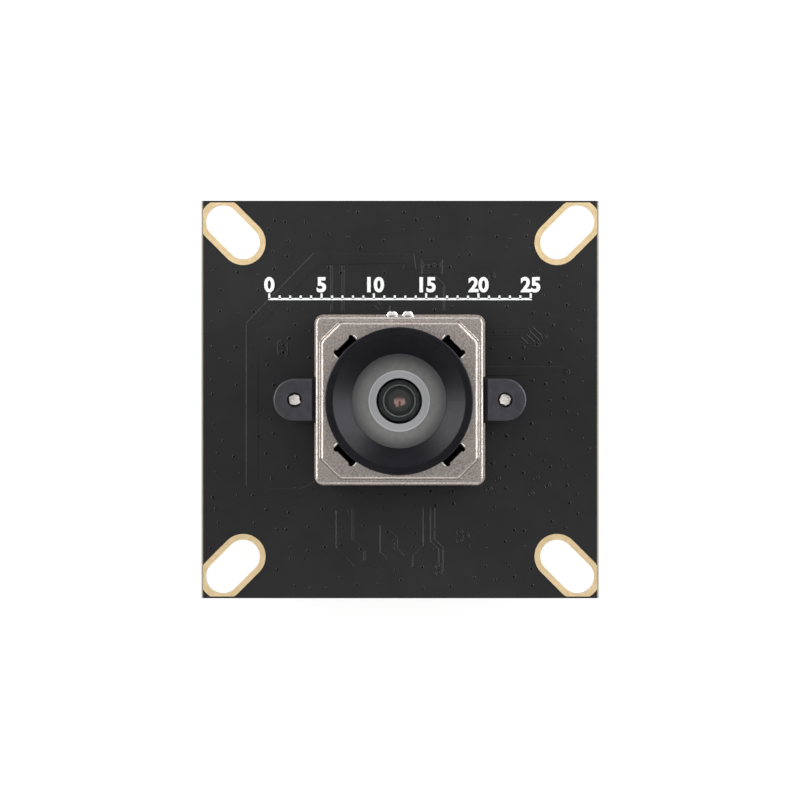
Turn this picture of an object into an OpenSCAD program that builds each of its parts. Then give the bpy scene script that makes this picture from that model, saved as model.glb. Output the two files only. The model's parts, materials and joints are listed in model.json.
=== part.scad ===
// Autofocus USB camera module: a square circuit board with a lens in a voice-coil motor.
// Frame: origin at the board's centre on its underside, Z up along the optical axis,
// and the USB socket under the edge at -Y.

/* [Circuit board] */
// Side of the square board
board_w = 38; // [36:0.5:44]
// Thickness of the board
board_t = 1.6; // [1:0.1:2.4]
// Set-back of the scored left and right edges
score_w = 0.17; // [0.1:0.01:0.3]
// Height of each scored slope
score_h = 0.35; // [0.2:0.05:0.45]
// Distance from the board's edges to the middle of a slot's outer end
slot_inset = 2; // [1.8:0.1:2.7]
// Distance along each edge between the middles of a slot's two ends
slot_reach = 2; // [1:0.1:3]
// Finished width of each slot
slot_w = 3.2; // [2.2:0.1:3.4]
// Width of the plated land around each slot
land_w = 0.55; // [0.3:0.05:0.8]
// Thickness of the plating
plating_t = 0.05; // [0.03:0.01:0.1]

/* [Sensor] */
// Side of the sensor package
sensor_w = 8.4; // [7:0.1:9.4]
// Thickness of the sensor package
sensor_t = 0.75; // [0.5:0.05:0.85]
// Set-back of the cover glass from the package's edge
glass_inset = 0.4; // [0.2:0.05:0.8]
// Thickness of the cover glass
glass_t = 0.4; // [0.2:0.05:0.5]
// Side of the infrared filter
filter_w = 7.4; // [6.4:0.1:8.4]
// Thickness of the infrared filter
filter_t = 0.3; // [0.2:0.05:0.4]

/* [Lens holder] */
// Set-back of the square block from the sides of the can above it
block_inset = 0.05; // [0:0.05:0.5]
// Height of the motor's seat above the board
holder_h = 2.2; // [2:0.1:3]
// Height of the screw ears above the board
ear_h = 3; // [2.4:0.1:4]
// Distance from the can's flange to the screw holes' axes
ear_reach = 1.91; // [1.6:0.01:2.6]
// Radius of the ears' round ends
ear_r = 2; // [1.6:0.1:2.4]
// Diameter of the pilot holes
pilot_d = 1.42; // [1.2:0.02:1.8]
// Width of the chamfer round the ears' tops
ear_chamfer = 0.12; // [0.05:0.01:0.3]

/* [Motor] */
// Distance from the lens barrel to the outside of the can's walls
motor_w = 3.25; // [3.1:0.05:3.7]
// Height of the can's raised top above the motor's seat
can_h = 6; // [5.6:0.1:7]
// Wall of the can
can_t = 0.3; // [0.2:0.02:0.32]
// Outer corner radius of the can
can_corner_r = 0.6; // [0.5:0.05:1]
// Radius of the can's top edge
can_edge_r = 0.25; // [0.15:0.05:0.28]
// Width of the trimmed flange round the can's foot
flange_w = 0.24; // [0.15:0.01:0.4]
// Thickness of that flange
flange_t = 0.2; // [0.1:0.02:0.3]
// Height of the raised octagon on the can's top
raise_h = 0.35; // [0.2:0.05:0.4]
// Set-back of the raised octagon's foot from the can's sides
raise_inset = 0.36; // [0.34:0.01:0.7]
// Width of the slope from the octagon's foot up to its top edge
raise_slope = 0.2; // [0.05:0.01:0.3]
// Leg of the octagon's cut corners
raise_leg = 1.9; // [1:0.1:2.4]
// Radius of the octagon's top edge
raise_edge_r = 0.2; // [0.1:0.05:0.3]
// Least width of the can's top between its sides and the opening
top_rim_w = 1.65; // [1.5:0.05:2]
// Distance from the can's corners to the bent tabs' inner faces
tab_set = 3.65; // [3.6:0.05:3.8]
// Width of each bent tab
tab_w = 1.54; // [1:0.02:1.8]
// Height of each bent tab below the can's top
tab_h = 3.6; // [2:0.1:3.8]
// Width of the relief notch beside each tab
relief_w = 0.43; // [0.3:0.01:0.5]
// Height of the motor base's ledge
ledge_h = 0.5; // [0.4:0.05:0.6]
// Height of the motor base with its upstand
base_h = 1; // [0.9:0.05:1.2]
// Room between the lens barrel and the opening in the motor base
base_gap = 0.4; // [0.3:0.05:0.6]
// Thickness of the leaf springs
leaf_t = 0.05; // [0.03:0.01:0.08]
// Width of the leaf springs' arms
arm_w = 0.2; // [0.1:0.02:0.3]
// Height of the upper spring's frame
frame_h = 0.5; // [0.3:0.05:0.6]
// Radial thickness of the coil
coil_t = 0.35; // [0.2:0.01:0.4]
// Height of the coil
coil_h = 1.85; // [1.2:0.05:1.85]
// Travel of the lens towards the subject
travel = 0.4; // [0.2:0.05:0.5]
// Distance between the two terminals
terminal_pitch = 1.5; // [1.3:0.05:2]
// Width of each terminal
terminal_w = 0.5; // [0.3:0.05:0.7]
// Thickness of each terminal
terminal_t = 0.15; // [0.1:0.01:0.2]

/* [Lens] */
// Radius of the threaded barrel
barrel_r = 4.6; // [4.4:0.05:4.7]
// Outer radius of the hood
hood_r = 6.88; // [6.4:0.02:7.3]
// Width of the hood's flat front rim
hood_rim_w = 0.76; // [0.5:0.02:1]
// Height of the hood's front above the board
hood_front_h = 12; // [11.8:0.1:13]
// Height of the hood's outer band
hood_band_h = 2.2; // [1.6:0.1:2.4]
// Gap between the can's top and the hood
hood_gap = 0.5; // [0.3:0.05:0.8]
// Depth of the hood's cone
cone_depth = 1.4; // [1:0.05:1.6]
// Outer radius of the front retainer
retainer_r = 4.41; // [4.2:0.01:4.6]
// Height of the front retainer at its outer edge
retainer_h = 0.85; // [0.6:0.05:1]
// Depth of the dish in the retainer's front face
dish_depth = 0.3; // [0.1:0.05:0.35]
// Radius where the retainer's countersink starts
sink_r = 2.84; // [2.5:0.02:3.2]
// Radius of the clear front aperture
clear_r = 2.14; // [1.9:0.02:2.3]
// Radius of the front elements
front_r = 3.15; // [2.6:0.05:3.4]
// Thickness of the front element at its edge
front_t = 1.75; // [1.2:0.05:1.9]
// Radius of the hole in the aperture stop
stop_r = 1.45; // [1:0.05:1.8]
// Thickness of the aperture stop
stop_t = 0.05; // [0.03:0.01:0.1]
// Thickness of the second element at its edge
second_t = 1.5; // [1:0.05:1.7]
// Radius of the rear elements
rear_r = 3.7; // [3.2:0.05:3.8]
// Thickness of the third element at its edge
third_t = 1.2; // [0.8:0.05:1.3]
// Thickness of the rear element at its edge
rear_t = 0.8; // [0.5:0.05:0.9]
// Height of the rear retainer
rear_ring_h = 0.5; // [0.3:0.05:0.6]

/* [Screws] */
// Diameter of the screws' shanks
shank_d = 1.36; // [1.1:0.02:1.7]
// Diameter of the screw heads
head_d = 2.9; // [2.4:0.1:3.4]
// Height of the screw heads
head_h = 0.95; // [0.7:0.05:1.2]
// Depth of the screws' ends below the ears' tops
tip_depth = 0.8; // [0.3:0.1:1.4]
// Length of the cross recess's arms, end to end
cross_l = 1.5; // [1:0.1:1.8]
// Width of the cross recess's arms
cross_w = 0.3; // [0.2:0.02:0.4]
// Depth of the cross recess
cross_depth = 0.5; // [0.3:0.05:0.6]

/* [USB socket] */
// Number of contacts
pin_count = 5; // [2:1:8]
// Distance between the contacts
pin_pitch = 1.25; // [1:0.25:1.5]
// Width of the housing beyond the outer contacts, on each side
socket_side = 2; // [1.6:0.1:2.6]
// Depth of the housing from mouth to back
socket_d = 5.4; // [4.4:0.1:6]
// Height of the housing
socket_h = 3.3; // [2.8:0.1:3.6]
// Wall of the housing
socket_wall = 0.6; // [0.4:0.05:0.7]
// Width of each contact
pin_w = 0.35; // [0.25:0.05:0.5]
// Depth of the housing's back wall
socket_back_t = 1.2; // [0.8:0.1:1.6]
// Length of the anchor plates along the housing
anchor_d = 2.6; // [1.6:0.1:3.4]
// Height of the anchor plates
anchor_h = 1.6; // [1:0.1:2.4]
// Width of the anchor plates' feet
anchor_foot = 1.1; // [0.6:0.1:1.6]
// Thickness of the anchor plates
anchor_t = 0.2; // [0.1:0.05:0.3]

/* [Parts on the back] */
// Side of the video processor
processor_w = 9; // [7:0.5:10]
// Height of the video processor
processor_h = 0.9; // [0.6:0.1:1.2]
// Side of the power inductor
inductor_w = 4; // [3:0.2:5]
// Height of the power inductor
inductor_h = 1.6; // [1.2:0.1:2]
// Length of a small chip part such as a capacitor
chip_l = 1; // [0.8:0.1:1.2]
// Width of a small chip part
chip_w = 0.5; // [0.4:0.05:0.6]
// Height of a capacitor
capacitor_h = 0.5; // [0.4:0.05:0.6]
// Height of a resistor
resistor_h = 0.35; // [0.25:0.05:0.4]
// Length of a chip part's metal end
chip_end = 0.25; // [0.15:0.05:0.3]

/* [Hidden] */
$fn = 64;

fit = 0.02;                 // play between pieces that seat in one another
slide_gap = 0.3;            // room round what moves past another piece
motor_gap = 0.25;           // air gap between the coil, the magnets and the can's tabs
face_gap = 0.05;            // room over and beside a piece that lies in a recess
overcut = 0.5;              // how far a cutter runs past the face it opens
bite = 0.1;                 // how far a strip runs into the piece it grows from

board_top = board_t;
board_half = board_w / 2;
slot_r = slot_w / 2;
slot_outer = board_half - slot_inset;      // middle of each slot's outer end
slot_inner = slot_outer - slot_reach;      // middle of each slot's inner end
screw_room = 0.25;                         // room round a screw in the board

seat_z = board_top + holder_h;             // where the motor sits
ledge_z = seat_z + ledge_h;                // foot of the can
upstand_z = seat_z + base_h;               // seat of the lower spring
can_top_z = seat_z + can_h;                // raised octagon
can_rim_z = can_top_z - raise_h;           // low corners of the can's top
can_half = barrel_r + motor_w;
opening_r = can_half - top_rim_w;
tab_radial = can_half * sqrt(2) - tab_set;
base_bore_r = barrel_r + base_gap;
holder_w = 2 * (can_half - block_inset);
can_in = can_half - can_t;
flange_half = can_half + flange_w;
ear_pitch = 2 * (flange_half + ear_reach); // distance between the screw holes
ear_gap = 0.26;
ear_in = flange_half + ear_gap;            // the ears locate the motor between them
ear_zone = 2 * ear_r + 0.4;                // the flange is trimmed away along the ears
holder_corner_r = 0.5;
filter_rim = 0.6;                          // shelf that the filter lies on
shelf_t = 0.35;
sensor_room = 0.6;                         // room beside the sensor
raise_half = can_half - raise_inset;

tab_out = tab_radial + can_t;
tab_clear = 0.03;                          // room inside each tab's root
pocket_in = tab_radial - motor_gap;        // the carrier's pockets clear the tabs
coil_diag_in = tab_out + motor_gap;
coil_diag_out = coil_diag_in + coil_t;
coil_half_out = can_in - motor_gap;
coil_half_in = coil_half_out - coil_t;
magnet_diag = coil_diag_out + motor_gap;
magnet_out = can_in - face_gap;
magnet_z = upstand_z + leaf_t + 2 * face_gap;
neck_lap = 0.1;                            // the carrier's neck reaches under the can's top
neck_r = opening_r + neck_lap;
frame_in = neck_r + slide_gap;
frame_out = can_in - face_gap;
leaf_rim_w = 0.55;                         // width of the springs' outer frames
leaf_ring_w = 0.7;                         // width of the upper spring's ring
leaf_lap = 0.2;                            // how far the springs stay inside what holds them
leaf_out = can_in - 2 * face_gap;
leaf_in = leaf_out - leaf_rim_w;
leaf_diag_in = coil_diag_out - leaf_lap;
leaf_ring_out = neck_r - leaf_lap;
leaf_ring_in = leaf_ring_out - leaf_ring_w;
peg_r = 0.3;
peg_inset = 0.9;
peg_at = leaf_out - peg_inset;
stake_r = 0.2;
stake_h = 0.15;                            // height of the stakes above the upper spring's seat
foot_at = (base_bore_r + leaf_ring_out) / 2;
spring_room = 0.3;                         // depth in which the lower spring's arms move
base_floor_z = upstand_z - spring_room;
carrier_z = upstand_z + leaf_t;
carrier_lip = 0.15;
lower_flange_z = carrier_z + carrier_lip;
coil_flange_t = 0.3;
coil_z = lower_flange_z + coil_flange_t;
upper_flange_z = coil_z + coil_h;
stop_room = 0.15;                          // room left over the coil at full travel
frame_z = upper_flange_z + coil_flange_t + travel + stop_room;
magnet_h = frame_z - magnet_z;
upper_leaf_z = frame_z + frame_h;
carrier_top_z = upper_leaf_z;
bore_r = barrel_r + fit;

terminal_gap = 0.03;                       // play between a terminal and the wall it runs down
terminal_room = 0.3;                       // room beside a terminal in its notch
terminal_z = ledge_z - 0.1;                // the terminals leave the base under the can's foot
leg_y = can_half + terminal_gap;
solder_r = 0.54;
solder_top_r = 0.32;
solder_h = 1.2;

front_z = board_top + hood_front_h;
hood_z = can_top_z + hood_gap;
cone_z = front_z - cone_depth;
retainer_z = cone_z - retainer_h;
front_seat_z = retainer_z - front_t;
stop_z = front_seat_z - stop_t;
second_z = stop_z - second_t;
shoulder_t = 0.3;                          // rib between the front and rear bores
third_top_z = second_z - shoulder_t;
third_z = third_top_z - third_t;
spacer_h = 0.25;
spacer_z = third_z - spacer_h;
rear_z = spacer_z - rear_t;
rear_ring_z = rear_z - rear_ring_h;
barrel_z = rear_ring_z;

front_sag = 0.5;                           // rise of the front element's face
shank_top_z = board_top + ear_h - tip_depth;
tip_h = 0.15;                              // height of the chamfer on the screws' ends
head_r = head_d / 2;
head_edge = 0.35;                          // rounding of the screw heads

socket_w = (pin_count - 1) * pin_pitch + 2 * socket_side;
socket_inset = 0.4;                        // the mouth lies just inside the board's edge
socket_front_y = socket_inset - board_half;
socket_back_y = socket_front_y + socket_d;
pin_z = -socket_h / 2;
pin_inset = 1.2;                           // the contacts stand back from the mouth
tail_gap = 0.1;
tail_t = 0.2;
tail_foot = 0.9;
anchor_inset = 0.8;

lead_t = 0.15;
lead_root = 0.35;
lead_step = 0.2;
lead_foot = 0.6;
flash_lead_w = 0.42;
flash_pitch = 1.27;
regulator_lead_w = 0.4;
regulator_pitch = 0.95;
chip_lift = 0.1;                           // leaded chips stand a little off the board

// Places on the board's back; what serves an edge is measured from that edge
processor_at = [0, 2, 0];
flash_at = [9.5 - board_half, board_half - 9.5, 0];
flash_size = [4.9, 3.9, 1.5];
regulator_size = [2.9, 1.6, 1.1];
regulators_at = [[board_half - 10, 6.5, 0], [board_half - 9.8, -5.5, 0]];
inductor_at = [board_half - 10.5, board_half - 7, 0];
crystal_at = [10.7 - board_half, -5.5, 0];
crystal_size = [3.2, 2.5, 0.7];
driver_at = [0, board_half - 6, 0];
driver_size = [2, 2, 0.6];
// Rows of small chip parts, each as first place, step and count
capacitor_rows = [[[-3, 8.4, 0], [1.5, 0, 0], 5], [[-3.6, -4.4, 0], [1.2, 0, 0], 7],
    [[5.8, 0.5, 0], [0, 1.6, 0], 4], [inductor_at - [4, 1, 0], [0, 1.6, 0], 2]];
resistor_rows = [[[-4, socket_back_y + 2.4, 0], [2, 0, 0], 5], [[-6, 0.5, 0], [0, 1.6, 0], 4],
    [driver_at - [3.4, 0.8, 0], [0, 1.6, 0], 2], [flash_at - [1.5, 4.5, 0], [1.5, 0, 0], 3]];

BLACK = [0.11, 0.11, 0.12];
MASK = [0.17, 0.17, 0.18];
NICKEL = [0.68, 0.65, 0.63];
TIN = [0.8, 0.8, 0.78];
GOLD = [0.93, 0.84, 0.66];
GLASS = [0.55, 0.6, 0.62];

// ---- shared shapes ----

// Mirrors its children into all four quarters of the board.
module four_corners() {
    for (mx = [0, 1], my = [0, 1])
        mirror([mx, 0, 0]) mirror([0, my, 0]) children();
}

// Repeats its children at the two ears.
module both_ears() {
    for (side = [-1, 1]) translate([side * ear_pitch / 2, 0, 0]) children();
}

// Places its children on the four diagonals, X running outwards.
module four_diagonals() {
    for (turn = [45:90:315]) rotate([0, 0, turn]) children();
}

// Square plate about the axis.
module block(side, z0, z1) {
    translate([-side / 2, -side / 2, z0]) cube([side, side, z1 - z0]);
}

// Square outline with round corners.
module round_square(side, r) {
    square([side - 2 * r, side], center = true);
    square([side, side - 2 * r], center = true);
    for (x = [-1, 1], y = [-1, 1]) translate([x, y] * (side / 2 - r)) circle(r);
}

// Octagon given by half its width and the distance to its diagonal sides.
module octagon(half, diag) {
    cut = diag * sqrt(2) - half;
    polygon([[half, -cut], [half, cut], [cut, half], [-cut, half],
        [-half, cut], [-half, -cut], [-cut, -half], [cut, -half]]);
}

// Post whose top edge is rounded, for blending into larger forms. Its side may slope in over the
// last part of its height, called rise.
module soft_post(r, h, edge, slope = 0, rise = 0) {
    rotate_extrude($fn = 32) polygon(concat([[0, 0], [r + slope, 0], [r + slope, h - rise]],
        [for (a = [slope == 0 ? 0 : 36:18:90]) [r - edge + edge * cos(a), h - edge + edge * sin(a)]],
        [[0, h]]));
}

// Slot outline along a diagonal of the board.
module slot_outline(r) {
    middle = (slot_inner + slot_outer) / 2;
    for (at = [slot_inner, slot_outer]) translate([at, at]) circle(r);
    translate([middle, middle]) rotate(45) square([slot_reach * sqrt(2), 2 * r], center = true);
}

// Part of a sphere that rises by sag over a circle of radius r.
module cap(r, sag) {
    sphere_r = (r * r + sag * sag) / (2 * sag);
    intersection() {
        translate([0, 0, sag - sphere_r]) sphere(sphere_r, $fn = 96);
        cylinder(r = r, h = sag);
    }
}

// Lens element: its edge runs from z0 to z1, its face bulges and its back is hollow.
module element(r, z0, z1, face_r, face_sag, back_r, back_sag) {
    difference() {
        union() {
            translate([0, 0, z0]) cylinder(r = r, h = z1 - z0);
            translate([0, 0, z1]) cap(face_r, face_sag);
        }
        translate([0, 0, z0]) cap(back_r, back_sag);
    }
}

// Flat ring.
module ring(outer_r, inner_r, z0, z1) {
    translate([0, 0, z0]) difference() {
        cylinder(r = outer_r, h = z1 - z0);
        translate([0, 0, -overcut]) cylinder(r = inner_r, h = z1 - z0 + 2 * overcut);
    }
}

// ---- circuit board ----

module circuit_board() {
    half = board_half;
    color(MASK) difference() {
        translate([0, half, 0]) rotate([90, 0, 0]) linear_extrude(board_w)
            polygon([[-half, score_h], [-half + score_w, 0], [half - score_w, 0], [half, score_h],
                [half, board_t - score_h], [half - score_w, board_t],
                [-half + score_w, board_t], [-half, board_t - score_h]]);
        four_corners() translate([0, 0, -overcut])
            linear_extrude(board_t + 2 * overcut) slot_outline(slot_r + plating_t);
        both_ears() translate([0, 0, -overcut])
            cylinder(d = shank_d + 2 * screw_room, h = board_t + 2 * overcut);
    }
}

module slot_plating() {
    land_edge = board_half - score_w;
    color(GOLD) four_corners() difference() {
        union() {
            for (z = [-plating_t, board_t]) translate([0, 0, z]) linear_extrude(plating_t)
                intersection() {
                    slot_outline(slot_r + land_w);
                    square(land_edge);
                }
            linear_extrude(board_t) slot_outline(slot_r + plating_t);
        }
        translate([0, 0, -overcut]) linear_extrude(board_t + 2 * overcut) slot_outline(slot_r);
    }
}

// ---- sensor, holder and filter ----

module image_sensor() {
    color(BLACK) block(sensor_w, board_top, board_top + sensor_t);
}

module sensor_cover_glass() {
    z0 = board_top + sensor_t;
    color(GLASS) block(sensor_w - 2 * glass_inset, z0, z0 + glass_t);
}

module lens_holder() {
    filter_seat_z = seat_z - filter_t - face_gap;
    soft_r = ear_r - ear_chamfer;
    soft_h = ear_h - ear_chamfer;
    color(BLACK) difference() {
        union() {
            translate([0, 0, board_top]) linear_extrude(holder_h)
                round_square(holder_w, holder_corner_r);
            translate([-ear_pitch / 2, 0, board_top]) rotate([90, 0, 90]) linear_extrude(ear_pitch)
                polygon([[-ear_r, 0], [ear_r, 0], [ear_r, soft_h], [soft_r, ear_h],
                    [-soft_r, ear_h], [-ear_r, soft_h]]);
            both_ears() translate([0, 0, board_top]) {
                cylinder(r = ear_r, h = soft_h);
                translate([0, 0, soft_h]) cylinder(r1 = ear_r, r2 = soft_r, h = ear_chamfer);
            }
        }
        block(2 * ear_in, seat_z, board_top + ear_h + overcut);
        block(sensor_w + 2 * sensor_room, board_top - overcut, filter_seat_z - shelf_t);
        block(filter_w - 2 * filter_rim, board_top, seat_z + overcut);
        block(filter_w + 2 * face_gap, filter_seat_z, seat_z + overcut);
        both_ears() translate([0, 0, board_top - overcut])
            cylinder(d = pilot_d, h = ear_h + 2 * overcut);
    }
}

module ir_filter() {
    z0 = seat_z - filter_t - face_gap;
    color(GLASS) block(filter_w, z0, z0 + filter_t);
}

// ---- motor, the parts that stay still ----

// Cut through the ledge and the flange in which the terminals run down.
module terminal_notches() {
    for (side = [-1, 1])
        translate([side * terminal_pitch / 2 - terminal_w / 2 - terminal_room, can_half,
            seat_z - overcut])
            cube([terminal_w + 2 * terminal_room, flange_w + overcut, base_h + 2 * overcut]);
}

module motor_base() {
    color(BLACK) difference() {
        union() {
            translate([0, 0, seat_z]) linear_extrude(ledge_h)
                round_square(2 * flange_half, can_corner_r + flange_w);
            translate([0, 0, seat_z]) linear_extrude(base_h)
                round_square(2 * (can_in - face_gap), can_corner_r - can_t);
        }
        translate([0, 0, base_floor_z]) linear_extrude(base_h)
            octagon(leaf_in, leaf_diag_in);
        translate([0, 0, seat_z - overcut]) cylinder(r = base_bore_r, h = base_h + 2 * overcut);
        terminal_notches();
        for (side = [-1, 1])
            translate([side * terminal_pitch / 2 - terminal_w / 2 - fit, leaf_in - overcut,
                terminal_z - terminal_t - fit])
                cube([terminal_w + 2 * fit, flange_half, terminal_t + 2 * fit]);
    }
}

module motor_can() {
    deep = 3 * raise_h;
    post_r = 0.5;
    foot_r = post_r + raise_slope;
    soft_half = raise_half - foot_r;
    soft_cut = raise_half - raise_leg - foot_r * (sqrt(2) - 1);
    color(NICKEL) {
        difference() {
            union() {
                hull() for (x = [-1, 1], y = [-1, 1])
                    translate([x * (can_half - can_corner_r), y * (can_half - can_corner_r), ledge_z])
                        soft_post(can_corner_r, can_rim_z - ledge_z, can_edge_r);
                hull() for (x = [-1, 1], y = [-1, 1]) {
                    translate([x * soft_half, y * soft_cut, can_rim_z - deep])
                        soft_post(post_r, deep + raise_h, raise_edge_r, raise_slope, raise_h);
                    translate([x * soft_cut, y * soft_half, can_rim_z - deep])
                        soft_post(post_r, deep + raise_h, raise_edge_r, raise_slope, raise_h);
                }
                translate([0, 0, ledge_z]) linear_extrude(flange_t)
                    round_square(2 * flange_half, can_corner_r + flange_w);
            }
            translate([0, 0, ledge_z - overcut]) linear_extrude(can_rim_z - can_t - ledge_z + overcut)
                round_square(2 * can_in, can_corner_r - can_t);
            translate([0, 0, ledge_z]) linear_extrude(can_top_z - can_t - ledge_z)
                octagon(raise_half - can_t, (raise_half - raise_leg / 2) * sqrt(2) - can_t);
            translate([0, 0, can_rim_z - deep]) cylinder(r = opening_r, h = 3 * deep);
            four_diagonals() translate([0, 0, can_rim_z - deep]) linear_extrude(3 * deep) {
                translate([0, -tab_w / 2 - relief_w])
                    square([tab_radial - tab_clear, tab_w + 2 * relief_w]);
                translate([0, -tab_w / 2]) square([tab_out, tab_w]);
                for (side = [-1, 1])
                    translate([tab_radial - tab_clear, side * (tab_w + relief_w) / 2])
                        circle(d = relief_w, $fn = 24);
            }
            for (side = [-1, 1]) translate([side * flange_half, 0, ledge_z])
                cube([2 * flange_w, ear_zone, 2 * ledge_h], center = true);
            terminal_notches();
        }
        four_diagonals() translate([0, tab_w / 2, 0]) rotate([90, 0, 0]) linear_extrude(tab_w) {
            translate([tab_radial, can_top_z - tab_h]) square([can_t, tab_h - can_t]);
            intersection() {
                translate([tab_out, can_top_z - can_t]) circle(can_t);
                translate([tab_radial, can_top_z - can_t]) square(can_t);
            }
        }
    }
}

module motor_magnets() {
    color("dimgray") four_corners() translate([0, 0, magnet_z]) linear_extrude(magnet_h)
        polygon([[magnet_out, magnet_diag * sqrt(2) - magnet_out],
            [magnet_out, magnet_out - can_corner_r], [magnet_out - can_corner_r, magnet_out],
            [magnet_diag * sqrt(2) - magnet_out, magnet_out]]);
}

// Flat spring: an outer frame, an inner ring and four arms that run along the sides.
module leaf_spring(ring_in, ring_out, stake_at) {
    arm_x = (leaf_in + ring_out) / 2;
    arm_share = 0.6;
    arm_y = leaf_in * arm_share;
    linear_extrude(leaf_t) {
        difference() {
            round_square(2 * leaf_out, can_corner_r);
            octagon(leaf_in, leaf_diag_in);
            for (x = [-1, 1], y = [-1, 1])
                translate([x, y] * peg_at) circle(peg_r + fit, $fn = 24);
        }
        difference() {
            circle(ring_out);
            circle(ring_in);
            for (turn = [45:90:315]) rotate(turn)
                translate([stake_at, 0]) circle(stake_r + fit, $fn = 24);
        }
        for (turn = [0:90:270]) rotate(turn) {
            translate([ring_out - bite, -arm_w / 2]) square([arm_x - ring_out + bite, arm_w]);
            translate([arm_x - arm_w / 2, -arm_w / 2]) square([arm_w, arm_y + arm_w]);
            translate([arm_x, arm_y - arm_w / 2]) square([leaf_in - arm_x + bite, arm_w]);
        }
    }
}

module lower_leaf_spring() {
    color(GOLD) translate([0, 0, upstand_z])
        leaf_spring(base_bore_r + 2 * face_gap, leaf_ring_out, foot_at);
}

module upper_leaf_spring() {
    color(GOLD) translate([0, 0, upper_leaf_z])
        leaf_spring(leaf_ring_in, leaf_ring_out, (leaf_ring_in + leaf_ring_out) / 2);
}

module upper_spring_frame() {
    color(BLACK) {
        translate([0, 0, frame_z]) linear_extrude(frame_h) difference() {
            round_square(2 * frame_out, can_corner_r - can_t);
            octagon(frame_in, coil_diag_in);
        }
        for (x = [-1, 1], y = [-1, 1]) translate([x * peg_at, y * peg_at, frame_z])
            cylinder(r = peg_r, h = can_rim_z - can_t - frame_z, $fn = 24);
    }
}

module motor_terminals() {
    color(TIN) for (side = [-1, 1]) translate([side * terminal_pitch / 2 - terminal_w / 2, 0, 0]) {
        translate([0, leaf_in, terminal_z - terminal_t])
            cube([terminal_w, leg_y + terminal_t - leaf_in, terminal_t]);
        translate([0, leg_y, board_top]) cube([terminal_w, terminal_t, terminal_z - board_top]);
    }
}

module solder_joints() {
    wall_y = holder_w / 2 + fit;
    color(TIN) for (side = [-1, 1]) translate([side * terminal_pitch / 2, 0, board_top])
        difference() {
            translate([0, leg_y + face_gap, 0])
                cylinder(r1 = solder_r, r2 = solder_top_r, h = solder_h, $fn = 32);
            translate([-terminal_w / 2, leg_y, -overcut])
                cube([terminal_w, terminal_t, solder_h + 2 * overcut]);
            translate([-solder_r, wall_y - 2 * solder_r, -overcut])
                cube([2 * solder_r, 2 * solder_r, solder_h + 2 * overcut]);
        }
}

module holder_screws() {
    color(TIN) both_ears() difference() {
        union() {
            translate([0, 0, -head_h]) cylinder(r1 = head_r - head_edge, r2 = head_r, h = head_edge);
            translate([0, 0, head_edge - head_h]) cylinder(r = head_r, h = head_h - head_edge);
            cylinder(d = shank_d, h = shank_top_z - tip_h);
            translate([0, 0, shank_top_z - tip_h])
                cylinder(d1 = shank_d, d2 = shank_d - 2 * tip_h, h = tip_h);
        }
        for (turn = [0, 90]) rotate(turn)
            translate([-cross_l / 2, -cross_w / 2, -head_h - overcut])
                cube([cross_l, cross_w, cross_depth + overcut]);
    }
}

// ---- motor and lens, the parts that travel ----

module lens_carrier() {
    color(BLACK) difference() {
        union() {
            translate([0, 0, carrier_z]) cylinder(r = neck_r, h = carrier_top_z - carrier_z);
            translate([0, 0, lower_flange_z]) linear_extrude(coil_flange_t)
                octagon(coil_half_out, coil_diag_out);
            translate([0, 0, coil_z]) linear_extrude(coil_h)
                octagon(coil_half_in - fit, coil_diag_in - fit);
            translate([0, 0, upper_flange_z]) linear_extrude(coil_flange_t)
                octagon(coil_half_out, coil_diag_out);
            four_diagonals() translate([foot_at, 0, base_floor_z + face_gap])
                cylinder(r = stake_r, h = lower_flange_z - base_floor_z, $fn = 24);
            four_diagonals() translate([(leaf_ring_in + leaf_ring_out) / 2, 0, carrier_z])
                cylinder(r = stake_r, h = carrier_top_z + stake_h - carrier_z, $fn = 24);
        }
        translate([0, 0, carrier_z - overcut])
            cylinder(r = bore_r, h = carrier_top_z - carrier_z + 2 * overcut);
        four_diagonals() translate([pocket_in, -tab_w / 2 - motor_gap, carrier_z - overcut])
            cube([coil_diag_in - pocket_in - fit, tab_w + 2 * motor_gap,
                carrier_top_z - carrier_z + 2 * overcut]);
    }
}

module focus_coil() {
    color("peru") translate([0, 0, coil_z]) linear_extrude(coil_h) difference() {
        octagon(coil_half_out, coil_diag_out);
        octagon(coil_half_in, coil_diag_in);
    }
}

module lens_barrel() {
    soft = 0.15;
    edge = 0.05;
    hood_foot = 0.9;
    shoulder_r = front_r - 0.7;
    band_z = front_z - hood_band_h;
    color(BLACK) rotate_extrude() polygon(concat(
        [[rear_r + fit, barrel_z], [barrel_r - soft, barrel_z], [barrel_r, barrel_z + soft],
            [barrel_r, hood_z], [barrel_r + hood_foot, hood_z],
            [hood_r - edge, band_z - 2 * edge], [hood_r, band_z]],
        [for (a = [0:30:90])
            [hood_r - soft + soft * cos(a), front_z - soft + soft * sin(a)]],
        [[hood_r - hood_rim_w + edge, front_z], [hood_r - hood_rim_w, front_z - edge],
            [retainer_r + fit, cone_z], [retainer_r + fit, retainer_z], [front_r + fit, retainer_z],
            [front_r + fit, second_z], [shoulder_r, second_z],
            [shoulder_r, third_top_z], [rear_r + fit, third_top_z]]));
}

module front_retainer() {
    dish_steps = 6;
    dish_w = retainer_r - sink_r;
    seat_in = front_r - 0.45;
    lip_t = 0.1;
    lip_z = retainer_z + front_sag + fit;
    color("dimgray") rotate_extrude() polygon(concat(
        [[seat_in, retainer_z], [retainer_r, retainer_z], [retainer_r, cone_z]],
        [for (i = [1:dish_steps])
            [retainer_r - dish_w * i / dish_steps, cone_z - dish_depth * sin(90 * i / dish_steps)]],
        [[clear_r, lip_z + lip_t], [clear_r, lip_z]]));
}

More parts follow.
